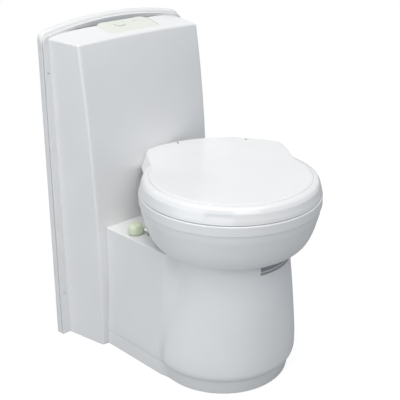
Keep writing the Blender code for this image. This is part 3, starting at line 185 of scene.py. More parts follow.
# Lid: inset of the round part and of the rear block against the depth below the top
lid_r = 0.1915
lid_z = (0.4221, 0.4570)
lid_t = 0.0035
lid_foot_r = 0.0010
lid_dome = 0.0008
lid_middle = (0.0, 0.02)
lid_below = (0.0349, 0.0285, 0.0235, 0.0185, 0.0140, 0.0100, 0.0070, 0.0040, 0.0022, 0.0015, 0.0004, 0.0)
lid_inset = (0.0, 0.0011, 0.0025, 0.0038, 0.0050, 0.0072, 0.0092, 0.0140, 0.0200, 0.0225, 0.0256, 0.0300)
block_flare = (0.0135, 0.0110, 0.0085, 0.0064, 0.0045, 0.0030, 0.0018, 0.0005, -0.0010, -0.0018, -0.0030, -0.0038)
block_draw = (0.0, 0.0, 0.0, 0.0, 0.0, 0.0, 0.0002, 0.0008, 0.0018, 0.0024, 0.0036, 0.0044)
hollow_below = (0.0535, 0.0235, 0.0160, 0.0120, 0.0090, 0.0070, 0.0055, 0.0035)
hollow_inset = (0.0060, 0.0068, 0.0084, 0.0105, 0.0130, 0.0170, 0.0215, 0.0245)
hollow_flare = (0.0100, 0.0050, 0.0018, 0.0002, -0.0010, -0.0018, -0.0026, -0.0043)
block_half = 0.1580
block_back_r = 0.2370
block_corner = 0.014
# Where the ring line starts to fade before the block, and over what width
block_front = (0.074, 0.012)
# Inset, depth and half width of the ring line
ring_line = (0.0203, 0.0020, 0.0010)
grip_deg = -108.0
grip_half = 0.0275
grip_z = (0.4235, 0.4365, 0.4570)
grip_depth = 0.0018
grip_fade = 0.0035

# Hinge line
pin_y = 0.138
pin_z = 0.440
sides = (("left", -1), ("right", 1))
eye_r = 0.0045
eye_over = 0.005
ear_x = (0.0840, 0.0955)
ear_r = 0.009
notch_x = (0.0781, 0.0819)
notch_y = (0.203, 0.25)
relief_x = (0.0779, 0.0821)
relief_y = (0.160, 0.2034)
relief_z = (0.4300, 0.4506)
post_x = (0.0785, 0.0815)
post_head = 0.012
# Reach of the posts' stems in front of the pin and behind it
post_stem = (0.009, 0.0042)
post_edge = 0.0005
post_edge_z = 0.36
post_eye_r = 0.0043
post_eye_over = 0.006
arm_x = (0.0630, 0.0765)
arm_y = (0.085, 0.138)
arm_z = (0.4330, 0.4440)
knuckle_r = 0.011

# Seat
seat_r = 0.179
seat_back_y = 0.098
seat_hole = (0.105, 0.110)
seat_hole_mid = (0.0, -0.035)
seat_z = (0.4245, 0.4460)
seat_foot_r = 0.003
seat_round_r = 0.009
seat_lip_r = 0.010
seat_lip_drop = 0.0015

# Lever knob
lever_deg = 126.0
knob_half = (0.0178, 0.0174)
knob_z = (0.3058, 0.3285)
knob_at = (0.2050, 0.0050)
# How much the knob narrows towards the axis, and the power it does so with
knob_draw = (0.45, 1.4)
knob_dome = 0.0006
bore_reach = (0.17, 0.1945)
bore_z = 0.312
bore_r = 0.0033


def through_table(xs, ys, at):
    """Smooth table: cubic Hermite pieces whose slopes are harmonic means, so no piece overshoots its rows."""
    xs, ys, at = np.asarray(xs, float), np.asarray(ys, float), np.asarray(at, float)
    step = np.diff(xs)
    slope = np.diff(ys) / step
    both = slope[:-1] * slope[1:]
    inner = np.where(both > 0, 2 * both / (slope[:-1] + slope[1:] + (both <= 0)), 0.0)
    tangent = np.concatenate([slope[:1], inner, slope[-1:]])
    i = np.clip(np.searchsorted(xs, at, side="right") - 1, 0, len(step) - 1)
    t = (at - xs[i]) / step[i]
    rise = (2 * t**3 - 3 * t**2 + 1) * ys[i] + (3 * t**2 - 2 * t**3) * ys[i + 1]
    return rise + ((t**3 - 2 * t**2 + t) * tangent[i] + (t**3 - t**2) * tangent[i + 1]) * step[i]


def smoothstep(t):
    t = np.clip(t, 0.0, 1.0)
    return t * t * (3 - 2 * t)


def quarter(radius, steps=5):
    """Quarter round from a side to a top: pairs of inset = r (1 - cos t) and rise = r sin t, t up to 90 degrees."""
    t = np.linspace(0.0, math.pi / 2, steps + 1)
    return list(zip(radius * (1 - np.cos(t)), radius * np.sin(t)))


def polar(radius, a):
    """Points (x, y) at a radius and an angle."""
    return np.column_stack([radius * np.cos(a), radius * np.sin(a)])


def stacked(rings):
    return np.stack([np.asarray(ring, float) for ring in rings])


def at_height(plan, z):
    """Gives a flat ring (m, 2) its height, a number or an array."""
    return np.column_stack([plan, np.broadcast_to(z, len(plan))])


def turned_bowl(points):
    """Turns points of the bowl's own frame about the swivel axis into the world."""
    c, s = math.cos(bowl_turn), math.sin(bowl_turn)
    return points @ np.array([[c, s, 0.0], [-s, c, 0.0], [0.0, 0.0, 1.0]])


def skin(name, grid, loop=False):
    """A closed body from an (n, m, 3) grid of rings.

    Quads join each ring to the next, and the last to the first when loop is set; otherwise a flat face
    closes each end. The sign of the enclosed volume turns the faces outwards.
    """
    grid = np.asarray(grid, float)
    n, m = grid.shape[:2]
    index = np.arange(n * m).reshape(n, m)
    low, high = (index, np.roll(index, -1, 0)) if loop else (index[:-1], index[1:])
    quads = np.stack([low, np.roll(low, -1, 1), np.roll(high, -1, 1), high], -1).reshape(-1, 4)
    faces = [quads]
    if not loop:
        faces += [index[:1, ::-1], index[-1:]]
    points = grid.reshape(-1, 3)
    volume = 0.0
    for group in faces:
        corners = points[group] - points.mean(0)
        for k in range(1, group.shape[1] - 1):
            volume += np.linalg.det(corners[:, [0, k, k + 1]]).sum()
    if volume < 0:
        faces = [group[:, ::-1] for group in faces]
    mesh = bpy.data.meshes.new(name)
    sizes = np.concatenate([np.full(len(group), group.shape[1]) for group in faces])
    mesh.vertices.add(len(points))
    mesh.loops.add(int(sizes.sum()))
    mesh.polygons.add(len(sizes))
    mesh.vertices.foreach_set("co", points.astype(np.float32).ravel())
    mesh.polygons.foreach_set("loop_start", np.concatenate([[0], np.cumsum(sizes)[:-1]]).astype(np.int32))
    mesh.loops.foreach_set("vertex_index", np.concatenate([group.ravel() for group in faces]).astype(np.int32))
    mesh.update()
    mesh.validate()
    made = bpy.data.objects.new(name, mesh)
    scene.collection.objects.link(made)
    return made


def bowl_skin(name, rings, loop=False):
    """A closed body from rings of the bowl's own frame."""
    return skin(name, turned_bowl(stacked(rings)), loop)


def block(name, x, y, z, turn=False):
    """A plain box as a cutting or joining tool."""
    plan = np.array([(x[0], y[0]), (x[1], y[0]), (x[1], y[1]), (x[0], y[1])], float)
    grid = stacked([at_height(plan, z[0]), at_height(plan, z[1])])
    return skin(name, turned_bowl(grid) if turn else grid)


def bar(name, start, end, radius, count=48, turn=False):
    """A round bar between two points: p + r (u cos a + v sin a)."""
    start, end = np.asarray(start, float), np.asarray(end, float)
    along = (end - start) / np.linalg.norm(end - start)
    u = np.cross(along, [0.0, 0.0, 1.0] if abs(along[2]) < 0.9 else [1.0, 0.0, 0.0])
    u /= np.linalg.norm(u)
    v = np.cross(along, u)
    a = np.arange(count)[:, None] * 2 * math.pi / count
    ring = (u * np.cos(a) + v * np.sin(a)) * radius
    grid = stacked([start + ring, end + ring])
    return skin(name, turned_bowl(grid) if turn else grid)


def core(name, low, high, radius, count):
    """A round bar on the swivel axis."""
    return bar(name, (0, 0, low), (0, 0, high), radius, count)


def shaped(target, *steps):
    """Joins and cuts a body with its tools one after another, keeps the result as its mesh and removes the tools."""
    for kind, tool in steps:
        step = target.modifiers.new(tool.name, "BOOLEAN")
        step.operation = kind
        step.solver = "EXACT"
        step.object = tool
    graph = bpy.context.evaluated_depsgraph_get()
    mesh = bpy.data.meshes.new_from_object(target.evaluated_get(graph))
    target.modifiers.clear()
    target.data = mesh
    for tool in {tool.name: tool for kind, tool in steps}.values():
        bpy.data.objects.remove(tool, do_unlink=True)
    return target


def cuts(*tools):
    return [("DIFFERENCE", tool) for tool in tools]


def joins(*tools):
    return [("UNION", tool) for tool in tools]


def dress(piece, body, finish, *nodes, sharp=32.0, slot=None):
    """Smooth shading with sharp edges, a finish, the body it rides on and the solids it stands for."""
    mesh = piece.data
    mesh.shade_smooth()
    mesh.set_sharp_from_angle(angle=math.radians(sharp))
    even = piece.modifiers.new("even_shading", "WEIGHTED_NORMAL")
    even.keep_sharp = True
    mesh.materials.clear()
    mesh.materials.append(finishes[finish])
    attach(piece, body)
    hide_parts(*nodes)
    return piece


# Shader maths
class Wire:
    """A socket with arithmetic: an expression on wires adds the Math nodes that work it out."""

    def __init__(self, tree, socket):
        self.tree, self.socket = tree, socket

    def maths(self, operation, *values):
        return add_node(self.tree, "Math", dict(enumerate(values)), settings={"operation": operation})

    def __add__(self, other):
        return self.maths("ADD", self, other)

    def __rsub__(self, other):
        return self.maths("SUBTRACT", other, self)

    def __mul__(self, other):
        return self.maths("MULTIPLY", self, other)

    def clipped(self, low, high):
        """0 at low, 1 at high, straight between."""
        values = {"Value": self, "From Min": low, "From Max": high}
        return add_node(self.tree, "MapRange", values, settings={"clamp": True})


def add_node(tree, kind, values=None, out=0, settings=None):
    """One node: settings first, then its sockets' values or links. Hands back a wire on its output, if it has one."""
    node = tree.nodes.new(f"ShaderNode{kind}")
    for key, value in (settings or {}).items():
        setattr(node, key, value)
    for key, value in (values or {}).items():
        if isinstance(value, Wire):
            tree.links.new(value.socket, node.inputs[key])
        else:
            node.inputs[key].default_value = value
    return None if out is None else Wire(tree, node.outputs[out])


class Finish:
    """One material: its pattern nodes read Object coordinates, in metres."""

    def __init__(self, name):
        self.material = bpy.data.materials.new(name)
        self.material.use_nodes = True
        self.tree = self.material.node_tree
        self.shader = self.tree.nodes["Principled BSDF"]
        self.place = self.node("TexCoord", out="Object")

    def node(self, kind, values=None, out=0, settings=None):
        return add_node(self.tree, kind, values, out, settings)

    def noise(self, scale, detail=2.0, rough=0.5, place=None):
        values = {"Vector": place or self.place, "Scale": scale, "Detail": detail, "Roughness": rough}
        return self.node("TexNoise", values)

    def stretched(self, scale):
        return self.node("Mapping", {"Vector": self.place, "Scale": scale})

    def blend(self, share, first, second):
        """Colour between two colours by a wire."""
        values = {0: share, 6: first if isinstance(first, Wire) else (*first, 1.0),
                  7: second if isinstance(second, Wire) else (*second, 1.0)}
        return self.node("Mix", values, 2, {"data_type": "RGBA"})

    def bump(self, height, distance, strength=1.0, under=None):
        values = {"Height": height, "Distance": distance, "Strength": strength}
        if under is not None:
            values["Normal"] = under
        return self.node("Bump", values)

    def wire(self, **values):
        """Feeds the shader's own sockets, named with underscores for spaces."""
        for key, value in values.items():
            socket = self.shader.inputs[key.replace("_", " ")]
            if isinstance(value, Wire):
                self.tree.links.new(value.socket, socket)
            else:
                socket.default_value = value
        return self.material


def tinted(colour, by):
    """A colour moved lighter or darker, and a little warmer when by is below zero."""
    return tuple(min(max(c * (1 + by * k), 0.0), 1.0) for c, k in zip(colour, (0.85, 1.0, 1.15)))


def gloss_white(name, colour, rough, depth=0.00006):
    """Moulded gloss shell: faint cloudy tint, orange-peel ripple, fine dust specks and polish that varies."""
    made = Finish(name)
    cloud = made.noise(9.0, 3.0).clipped(0.35, 0.68)
    speck = made.noise(1400.0, 1.0).clipped(0.70, 0.78)
    base = made.blend(cloud, tinted(colour, -0.018), tinted(colour, 0.012))
    base = made.blend(speck * 0.22, base, tinted(colour, -0.30))
    peel = made.noise(260.0, 1.5)
    swirl = made.noise(34.0, 4.0, 0.6)
    normal = made.bump(peel, depth, 0.6, made.bump(made.noise(14.0, 1.0), 0.0009, 0.35))
    return made.wire(Base_Color=base, Roughness=swirl * 0.10 + (rough - 0.05), Normal=normal,
                     IOR=1.49, Coat_Weight=0.25, Coat_Roughness=0.12)


def satin_moulded(name, colour, rough, grain=900.0):
    """Moulded satin plastic: spark-eroded grain, soft tint drift and rubbed lighter patches."""
    made = Finish(name)
    drift = made.noise(22.0, 4.0).clipped(0.3, 0.7)
    rubbed = made.noise(70.0, 5.0, 0.7).clipped(0.58, 0.74)
    base = made.blend(drift, tinted(colour, -0.06), tinted(colour, 0.05))
    base = made.blend(rubbed * 0.3, base, tinted(colour, 0.14))
    pits = made.noise(grain, 2.0, 0.6)
    return made.wire(Base_Color=base, Roughness=rubbed * -0.08 + drift * 0.06 + rough,
                     Normal=made.bump(pits, 0.00012, 0.5), IOR=1.5)


def brushed_steel(name, colour, rough):
    """Brushed stainless: fine streaks along X that move tone, polish and height."""
    made = Finish(name)
    streak = made.noise(1.0, 4.0, 0.65, made.stretched((30.0, 2200.0, 2200.0)))
    cloud = made.noise(18.0, 3.0)
    base = made.blend(streak.clipped(0.3, 0.7), tinted(colour, -0.16), tinted(colour, 0.08))
    return made.wire(Base_Color=base, Metallic=1.0, Roughness=streak * 0.16 + cloud * 0.10 + (rough - 0.12),
                     Normal=made.bump(streak, 0.00003, 0.5))


def soft_rubber(name, colour, rough):
    """Moulded rubber: dull, with bloom in patches and a fine matt grain."""
    made = Finish(name)
    bloom = made.noise(120.0, 4.0, 0.6).clipped(0.45, 0.75)
    base = made.blend(bloom * 0.5, colour, tinted(colour, 0.9))
    return made.wire(Base_Color=base, Roughness=bloom * 0.10 + (rough - 0.05),
                     Normal=made.bump(made.noise(2600.0, 1.0), 0.00008, 0.5), IOR=1.5)


def carbon_granules(name, colour, rough):
    """Packed granules: a cell pattern gives each grain its own tone and a rounded height."""
    made = Finish(name)
    cell = made.node("TexVoronoi", {"Vector": made.place, "Scale": 320.0})
    tone = made.node("TexVoronoi", {"Vector": made.place, "Scale": 320.0}, out="Color")
    tone = made.node("RGBToBW", {"Color": tone})
    base = made.blend(tone, tinted(colour, -0.4), tinted(colour, 1.2))
    return made.wire(Base_Color=base, Roughness=tone * 0.2 + (rough - 0.2),
                     Normal=made.bump(1 - cell, 0.0012, 0.8))


def circuit_board(name, colour, rough):
    """Board laminate: straight copper runs under green lacquer, and a grid of tinned holes."""
    made = Finish(name)
    bricks = {"Vector": made.place, "Scale": 110.0, "Mortar Size": 0.035, "Brick Width": 0.9, "Row Height": 0.28}
    runs = made.node("TexBrick", bricks, "Fac", {"offset": 0.5})
    base = made.blend(runs, colour, tinted(colour, 0.9))
    dots = made.node("TexVoronoi", {"Vector": made.place, "Scale": 393.7, "Randomness": 0.0})
    hole = 1 - dots.clipped(0.20, 0.24)
    base = made.blend(hole, base, (0.55, 0.55, 0.52))
    return made.wire(Base_Color=base, Roughness=hole * -0.2 + rough, Metallic=hole * 0.8,
                     Normal=made.bump(runs, 0.00006, 0.7))


finishes = {
    "white": gloss_white("gloss_white_shell", (0.81, 0.813, 0.817), 0.30),
    "cream": satin_moulded("satin_white_moulding", (0.74, 0.745, 0.74), 0.42),
    "grey": satin_moulded("satin_grey_moulding", (0.50, 0.52, 0.54), 0.50),
    "dark": satin_moulded("matt_black_moulding", (0.05, 0.05, 0.055), 0.60),
    "green": gloss_white("sage_green_moulding", (0.69, 0.765, 0.575), 0.36),
    "pale_green": gloss_white("pale_green_moulding", (0.74, 0.765, 0.70), 0.34),
    "steel": brushed_steel("brushed_steel", (0.62, 0.63, 0.64), 0.32),
    "board": circuit_board("circuit_board", (0.05, 0.22, 0.10), 0.45),
    "carbon": carbon_granules("carbon_granules", (0.03, 0.03, 0.03), 0.90),
    "rubber": soft_rubber("soft_rubber", (0.12, 0.12, 0.13), 0.80),
}


def plate_ring(inset, y, lower=0.0):
    """Outline of the wall plate in x and z: sides that widen to the foot, rounded corners, and the arch
    z = corner + rise (1 - (x / half)^2), let down by lower."""
    foot, half = plate_half[0] - inset, plate_half[1] - inset
    corner = np.array([half, plate_corner_z - inset - lower])
    side = np.array([foot, inset])
    arch_x = np.linspace(1 - plate_corner_r / half, -1 + plate_corner_r / half, 49)
    arch = np.column_stack([half * arch_x, corner[1] + plate_rise * (1 - arch_x**2)])
    start = corner + (side - corner) / np.linalg.norm(side - corner) * plate_corner_r
    t = np.linspace(0.0, 1.0, 10)[:-1, None]
    bend = start * (1 - t) ** 2 + corner * 2 * t * (1 - t) + arch[0] * t**2
    rise = side + (start - side) * np.linspace(0.0, 1.0, 12)[:-1, None]
    right = np.concatenate([rise, bend])
    plan = np.concatenate([right, arch, (right * (-1, 1))[::-1]])
    return np.column_stack([plan[:, 0], np.full(len(plan), y), plan[:, 1]])


def rounded_rectangle(half, corner, count=10, middle=(0.0, 0.0)):
    """Plan ring of a rectangle with quarter-round corners."""
    a = np.linspace(0.0, math.pi / 2, count)
    turns = np.arange(4)[:, None] * math.pi / 2 + a
    signs = np.array([(1, 1), (-1, 1), (-1, -1), (1, -1)])[:, None]
    centre = (np.array(half) - corner) * signs
    arc = centre + corner * np.stack([np.cos(turns), np.sin(turns)], -1)
    return arc.reshape(-1, 2) + middle


def column_ring(z, inset, back_y=None):
    """Plan of the column at the heights z, an array over the ring: x and y by height s = z / front height.

    The front bows out as y = corner - bulge (1 - t^2); the corner's y leans back and sags with s; a
    quadratic arc rounds the corner, and the side runs straight to the back.
    """
    back_y = flange_y[1] if back_y is None else back_y
    half = len(z) // 2
    s = z[half:] / column_front_z
    swell = column_swell * 4 * s * (1 - s)
    front = column_front[0] + (column_front[1] - column_front[0]) * s + swell - inset
    rear = column_back[0] + (column_back[1] - column_back[0]) * s - inset
    corner_y = column_corner_y + column_lean * s - column_sag * s * (1 - s) - swell + inset
    edge = np.maximum(column_edge_r - inset, column_edge_r / 3)
    n_front, n_corner, n_side = ring_parts
    t_end = 1 - edge / front
    part = np.concatenate([np.full(n_front, 0), np.full(n_corner, 1), np.full(n_side, 2)])
    k = np.concatenate([(np.arange(n_front) + 0.5) / n_front, np.arange(n_corner) / n_corner,
                        np.linspace(0.0, 1.0, n_side)])
    t = k * t_end
    front_x, front_y = front * t, corner_y - column_bulge * (1 - t * t)
    start_x, start_y = front * t_end, corner_y - column_bulge * (1 - t_end**2)
    length = np.hypot(rear - front, flange_y[1] - corner_y)
    end_x = front + (rear - front) * edge / length
    end_y = corner_y + (flange_y[1] - corner_y) * edge / length
    bend_x = start_x * (1 - k) ** 2 + front * 2 * k * (1 - k) + end_x * k * k
    bend_y = start_y * (1 - k) ** 2 + corner_y * 2 * k * (1 - k) + end_y * k * k
    side_x, side_y = end_x + (rear - end_x) * k, end_y + (flange_y[1] - end_y) * k
    x = np.choose(part, [front_x, bend_x, side_x])
    y = np.choose(part, [front_y, bend_y, side_y])
    if back_y > flange_y[1]:
        y[-1] = back_y
    return np.column_stack([np.concatenate([-x[::-1], x]), np.concatenate([y[::-1], y])])


def top_z(x, y):
    """Height of the column's top: an arch across x whose rise grows from front to back."""
    v = (y - column_top_y[0]) / (column_top_y[1] - column_top_y[0])
    corner = column_top_z[0] + (column_top_z[1] - column_top_z[0]) * v
    rise = column_top_rise[0] + (column_top_rise[1] - column_top_rise[0]) * v
    half = column_front[1] + (column_back[1] - column_front[1]) * v
    return corner + rise * (1 - (x / half) ** 2)


def column_grid(inset, low_z, under_top, edge, back_y=None):
    """Rings up the column's walls, round its top edge, and over the top towards its middle.

    The plan follows the height and the top's height follows the plan, so a few rounds settle both.
    """
    full = np.full(2 * sum(ring_parts), column_front_z)
    for _ in range(4):
        full = top_z(*column_ring(full, inset, back_y).T) - under_top
    heights = [low_z + (full - edge - low_z) * share for share in np.linspace(0.0, 1.0, 36)]
    rings = [at_height(column_ring(z, inset, back_y), z) for z in heights]
    for step_in, rise in quarter(edge)[1:]:
        plan = column_ring(full, inset + step_in, back_y)
        rings.append(at_height(plan, top_z(*plan.T) - under_top - edge + rise))
    middle = np.array(column_middle)
    for share in (0.05, 0.15, 0.3, 0.45, 0.6, 0.75, 0.9, 0.97):
        inner = plan + (middle - plan) * share
        rings.append(at_height(inner, top_z(*inner.T) - under_top))
    return stacked(rings)


# Wall plate: a band with a raised land, its long edges rounded
rings = [plate_ring(i, plate_y[1] - plate_edge + u) for i, u in quarter(plate_edge)[::-1]]
t = np.linspace(0.0, math.pi / 2, 10)
drops = plate_round[1] * (1 - np.cos(t))
rings += [plate_ring(0.0, plate_y[0] + plate_edge + plate_round[0] * (1 - math.sin(k)), drop)
          for k, drop in zip(t[:-1], drops)]
rings += [plate_ring(i, plate_y[0] + plate_edge - u, drops[-1]) for i, u in quarter(plate_edge)]
rings += [plate_ring(land_inset, y, land_drop) for y in (plate_y[0], land_y)]
wall_plate = skin("wall_plate_shell", rings)
half, low, high = tray_opening
door_plan = rounded_rectangle((half, (high - low) / 2), tray_opening_corner, 6, (0.0, (low + high) / 2))
door = skin("tool_door", [np.column_stack([door_plan[:, 0], np.full(len(door_plan), y), door_plan[:, 1]])
                          for y in (flange_y[0] - through, plate_y[1] + through)])
tools = [door, bar("tool_port", (0.0, flange_y[1], fan_port[0]), (0.0, plate_y[1] + through, fan_port[0]),
                   fan_port[1], 96)]
for number, (x, z) in enumerate(screw_at, 1):
    behind = (x, plate_y[1] + through, z)
    tools.append(bar(f"tool_shank_{number}", (x, land_y - through, z), behind, screw_hole_r, 24))
    tools.append(bar(f"tool_head_{number}", (x, plate_y[1] - screw_head[1], z), behind, screw_head[0], 32))
shaped(wall_plate, *cuts(*tools))
dress(wall_plate, "frame", "white", "wall_plate")

# Column housing with its flange, door and panel pocket
housing = skin("column_shell", column_grid(0.0, 0.0, 0.0, column_top_edge))
rings = [plate_ring(flange_inset + i, flange_y[0] + flange_edge - u, plate_round[1])
         for i, u in quarter(flange_edge, 3)[::-1]]
rings += [plate_ring(flange_inset, flange_y[1], plate_round[1])]
flange = skin("tool_flange", rings)
hollow = skin("tool_hollow", column_grid(column_wall, -through, column_wall, hollow_edge, flange_y[1] + through))
door = block("tool_door", (-column_door[0], column_door[0]), (column_door_y, flange_y[0] - through),
             (-through, column_door[1]))


def over_top(name, half, corner, under, reach, middle=panel_mid):
    """A tool or plate on the column's top: rounded-rectangle rings that follow the arch, from under to reach."""
    plan = rounded_rectangle(half, corner, 10, middle)
    inner = plan + (np.array(middle) - plan) * 0.5
    low = [at_height(p, top_z(*p.T) + under) for p in (inner, plan)]
    high = [at_height(p, top_z(*p.T) + reach) for p in (plan, inner)]
    return skin(name, low + high)


pocket, window = np.array(panel_half) + slide_gap, np.array(panel_half) - window_inset
pocket = over_top("tool_pocket", pocket, panel_corner + slide_gap, -pocket_depth, over_panel)
window = over_top("tool_window", window, window_corner, -window_depth, over_panel)
tools = [bar(f"tool_shank_{number}", (x, flange_y[0] + screw_skin, z), (x, plate_y[1], z), screw_hole_r, 24)
         for number, (x, z) in enumerate(screw_at, 1)]
shaped(housing, *joins(flange), *cuts(hollow, door, pocket, window, *tools))
dress(housing, "frame", "white", "column_housing")


def column_room():
    """What the pedestal and the plinth are cut back by, so that the column fits between them and the wall."""
    return skin("tool_column", column_grid(-gap, -through, 0.0, hollow_edge))


def body_ring(radius, half_width, centre_y, back_y):
    """Round front into flat sides: r(a) = (1 - w) R + w W / cos a, with w a smoothstep of the angle."""
    a = np.linspace(-90.0, blend_deg[1], 78)
    w = smoothstep((a - blend_deg[0]) / (blend_deg[1] - blend_deg[0]))
    a = np.radians(a)
    r = (1 - w) * radius + w * half_width / np.maximum(np.cos(a), 0.2)
    arc = polar(r, a) + (0.0, centre_y)
    side = arc[-1] + (np.array([half_width, back_y]) - arc[-1]) * np.linspace(0.0, 1.0, 18)[1:, None]
    right = np.concatenate([arc, side])
    return np.concatenate([right, (right * (-1, 1))[:0:-1]])


def barrel_plan(z, inset):
    """The pedestal's section at a height, from its tables."""
    radius = through_table(barrel_z, barrel_r, z) - inset
    width = through_table(barrel_z, barrel_w, z) - inset
    return body_ring(radius, width, through_table(barrel_z, barrel_y, z), pedestal_back_y + inset)


# Pedestal
levels = np.concatenate([[barrel_z[0], 0.0365], np.linspace(0.038, 0.055, 7),
                         np.linspace(0.058, deck_z - pedestal_edge, 44)])
rings = [at_height(barrel_plan(z, 0.0), z) for z in levels]
rings += [at_height(barrel_plan(deck_z, i), deck_z - pedestal_edge + u) for i, u in quarter(pedestal_edge, 4)[1:]]
pedestal = skin("pedestal_body", rings)
inner_top = pedestal_top_z - pedestal_wall
levels = np.linspace(barrel_z[0], inner_top, 24)
rings = [at_height(barrel_plan(barrel_z[0], pedestal_wall), barrel_z[0] - through)]
cavity = skin("tool_cavity", rings + [at_height(barrel_plan(z, pedestal_wall), z) for z in levels])
deck_half = barrel_w[-1] - pedestal_wall
outside = core("tool_well_outside", barrel_z[0], deck_z + through, well_r + pedestal_wall, 160)
deck_hollow = block("tool_deck", (-deck_half, deck_half), (0.0, pedestal_back_y + pedestal_wall),
                    (inner_top - pedestal_wall, deck_z - pedestal_wall))
shaped(deck_hollow, *cuts(outside))
hole = core("tool_hole", inner_top - through, deck_z, ring_hole_r, 120)
race_room = core("tool_race", pedestal_top_z, deck_z + through, race_clear_r, 160)
slit_a = np.radians(np.linspace(*slit_deg, 40))
slit_plan = np.concatenate([polar(slit_r[1], slit_a), polar(slit_r[0], slit_a[::-1])])
slit = skin("tool_slit", [at_height(slit_plan, z) for z in (deck_z - slit_depth, deck_z + through)])
slot = block("tool_slot", slot_x, (slot_back_y - 2 * through, slot_back_y), (slot_low_z, deck_z + through / 2))
shaped(pedestal, *cuts(cavity, deck_hollow, column_room(), hole, race_room, slit, slot))
dress(pedestal, "frame", "white", "pedestal_shell")

# Plinth
rings = [at_height(body_ring(plinth_r[0] + (plinth_r[1] - plinth_r[0]) * share - foot,
                             plinth_w[0] + (plinth_w[1] - plinth_w[0]) * share - foot,
                             barrel_y[0], pedestal_back_y), plinth_top_z * share)
         for share, foot in ((0.0, plinth_foot), (0.04, 0.0), (0.5, 0.0), (1.0, 0.0))]
plinth = skin("plinth_ring", rings)
rings = [at_height(body_ring(plinth_r[k] - pedestal_wall, plinth_w[k] - pedestal_wall, barrel_y[0],
                             pedestal_back_y + pedestal_wall), z)
         for k, z in ((0, -through), (1, plinth_top_z + through))]
shaped(plinth, *cuts(skin("tool_plinth", rings), column_room()))
dress(plinth, "frame", "white", "plinth")

# Grey liner of the front air slot
liner = block("slot_liner", (slot_x[0] + gap, slot_x[1] - gap), (slot_back_y - 2 * through, slot_back_y - gap),
              (slot_low_z + gap, pedestal_top_z - gap))
front = core("tool_front", slot_low_z - through, pedestal_top_z + through, barrel_r[-1] - turn_gap, 160)
inner = block("tool_inner", (slot_x[0] + gap + liner_t, slot_x[1] - gap - liner_t),
              (slot_back_y - 2 * through, slot_back_y - gap - liner_back_t),
              (slot_low_z + gap + liner_t, pedestal_top_z - gap - liner_t))
blade = block("tool_blade", (slot_x[0] + gap, slot_x[1] - gap), (slot_back_y - 2 * through, slot_back_y - liner_t),
              blade_z)
shaped(liner, *cuts(inner), *joins(blade), ("INTERSECT", front))
dress(liner, "frame", "grey", "inlet_liner")


def circle(radius, z, count=176):
    """A level ring about the swivel axis."""
    a = np.arange(count) * 2 * math.pi / count
    return at_height(polar(radius, a), z)


def oval(half, z, middle_y=0.0, power=2.0, count=176):
    """A level superellipse |x/a|^n + |y/b|^n = 1, sampled by angle."""
    a = np.arange(count) * 2 * math.pi / count
    r = (np.abs(np.cos(a) / half[0]) ** power + np.abs(np.sin(a) / half[1]) ** power) ** (-1 / power)
    return at_height(polar(r, a) + (0.0, middle_y), z)


def mouth_ring(grow, z):
    """The bowl's mouth, grown by a width, at a height."""
    return oval(np.array(mouth_half) + grow, z, mouth_y, mouth_power)


def drain_tool():
    """The hole for the front dish's pipe, through the bowl's floor and the funnel."""
    return bar("tool_drain", (0, drain_y, bowl_low_z), (0, drain_y, drain_hole[1]), drain_hole[0], 48, turn=True)


# Bowl shell with its rim band
levels = np.concatenate([[bowl_z[0], 0.3060, 0.3067], np.linspace(bowl_z[1], bowl_z[-1], 40)])
rings = [circle(bowl_boss[0], z) for z in (bowl_boss[1], bowl_z[0])]
rings += [circle(through_table(bowl_z, bowl_r, z), z) for z in levels]
rings += [circle(band_r - i, band_z[0] + band_foot - u) for i, u in quarter(band_foot, 3)[::-1]]
rings += [circle(band_r - i, band_z[1] - band_edge + u) for i, u in quarter(band_edge, 8)]
bowl = bowl_skin("bowl_shell", rings)
levels = np.linspace(bowl_z[0] + bowl_wall, bowl_z[-1], 20)
rings = [circle(through_table(bowl_z, bowl_r, z) - bowl_wall, z) for z in levels]
hollow = bowl_skin("tool_hollow", rings + [circle(*bowl_inner_top)])
walls = block("tool_walls", (-bay_half - bowl_wall, bay_half + bowl_wall), (bay_y[0] - bowl_wall, bay_y[1]),
              (bay_floor_z - bowl_wall, band_z[1] + through), turn=True)
shaped(hollow, *cuts(walls))
bay = block("tool_bay", (-bay_half, bay_half), bay_y, (bay_floor_z, band_z[1] + through), turn=True)
rings = [mouth_ring(0.0, ledge_z)]
rings += [mouth_ring(i, band_z[1] - mouth_edge + u) for i, u in quarter(mouth_edge, 3)]
rings += [mouth_ring(mouth_edge, band_z[1] + through)]
mouth = bowl_skin("tool_mouth", rings)
ledge = bowl_skin("tool_ledge", [mouth_ring(-ledge_w, z) for z in (ledge_low_z, band_z[1] + through)])
centre = core("tool_floor", bowl_low_z, floor_hole[1], floor_hole[0], 96)
shaped(bowl, *cuts(hollow, bay, mouth, ledge, centre, drain_tool()))
dress(bowl, "bowl", "white", "bowl_outer")


def lid_plan(radius, flare, draw):
    """Round lid with its rear block: an arc, two straight sides, rounded corners and a rear arc about the axis."""
    half, back = block_half + flare, block_back_r - draw
    meet = math.acos(half / radius)
    a = np.linspace(-math.pi - meet, meet, 180)
    arc = polar(radius, a)
    turn = math.acos(half / back)
    a = np.linspace(turn + block_corner / back, math.pi - turn - block_corner / back, 61)
    rear = polar(back, a)
    k = np.linspace(0.0, 1.0, 10)[:-1, None]
    corner = np.array([half, back * math.sin(turn)])
    start = corner - (0.0, block_corner)
    bend = start * (1 - k) ** 2 + corner * 2 * k * (1 - k) + rear[0] * k**2
    side = arc[-1] + (start - arc[-1]) * np.linspace(0.0, 1.0, 12)[1:-1, None]
    right = np.concatenate([side, bend])
    return np.concatenate([arc, right, rear, (right * (-1, 1))[::-1]])


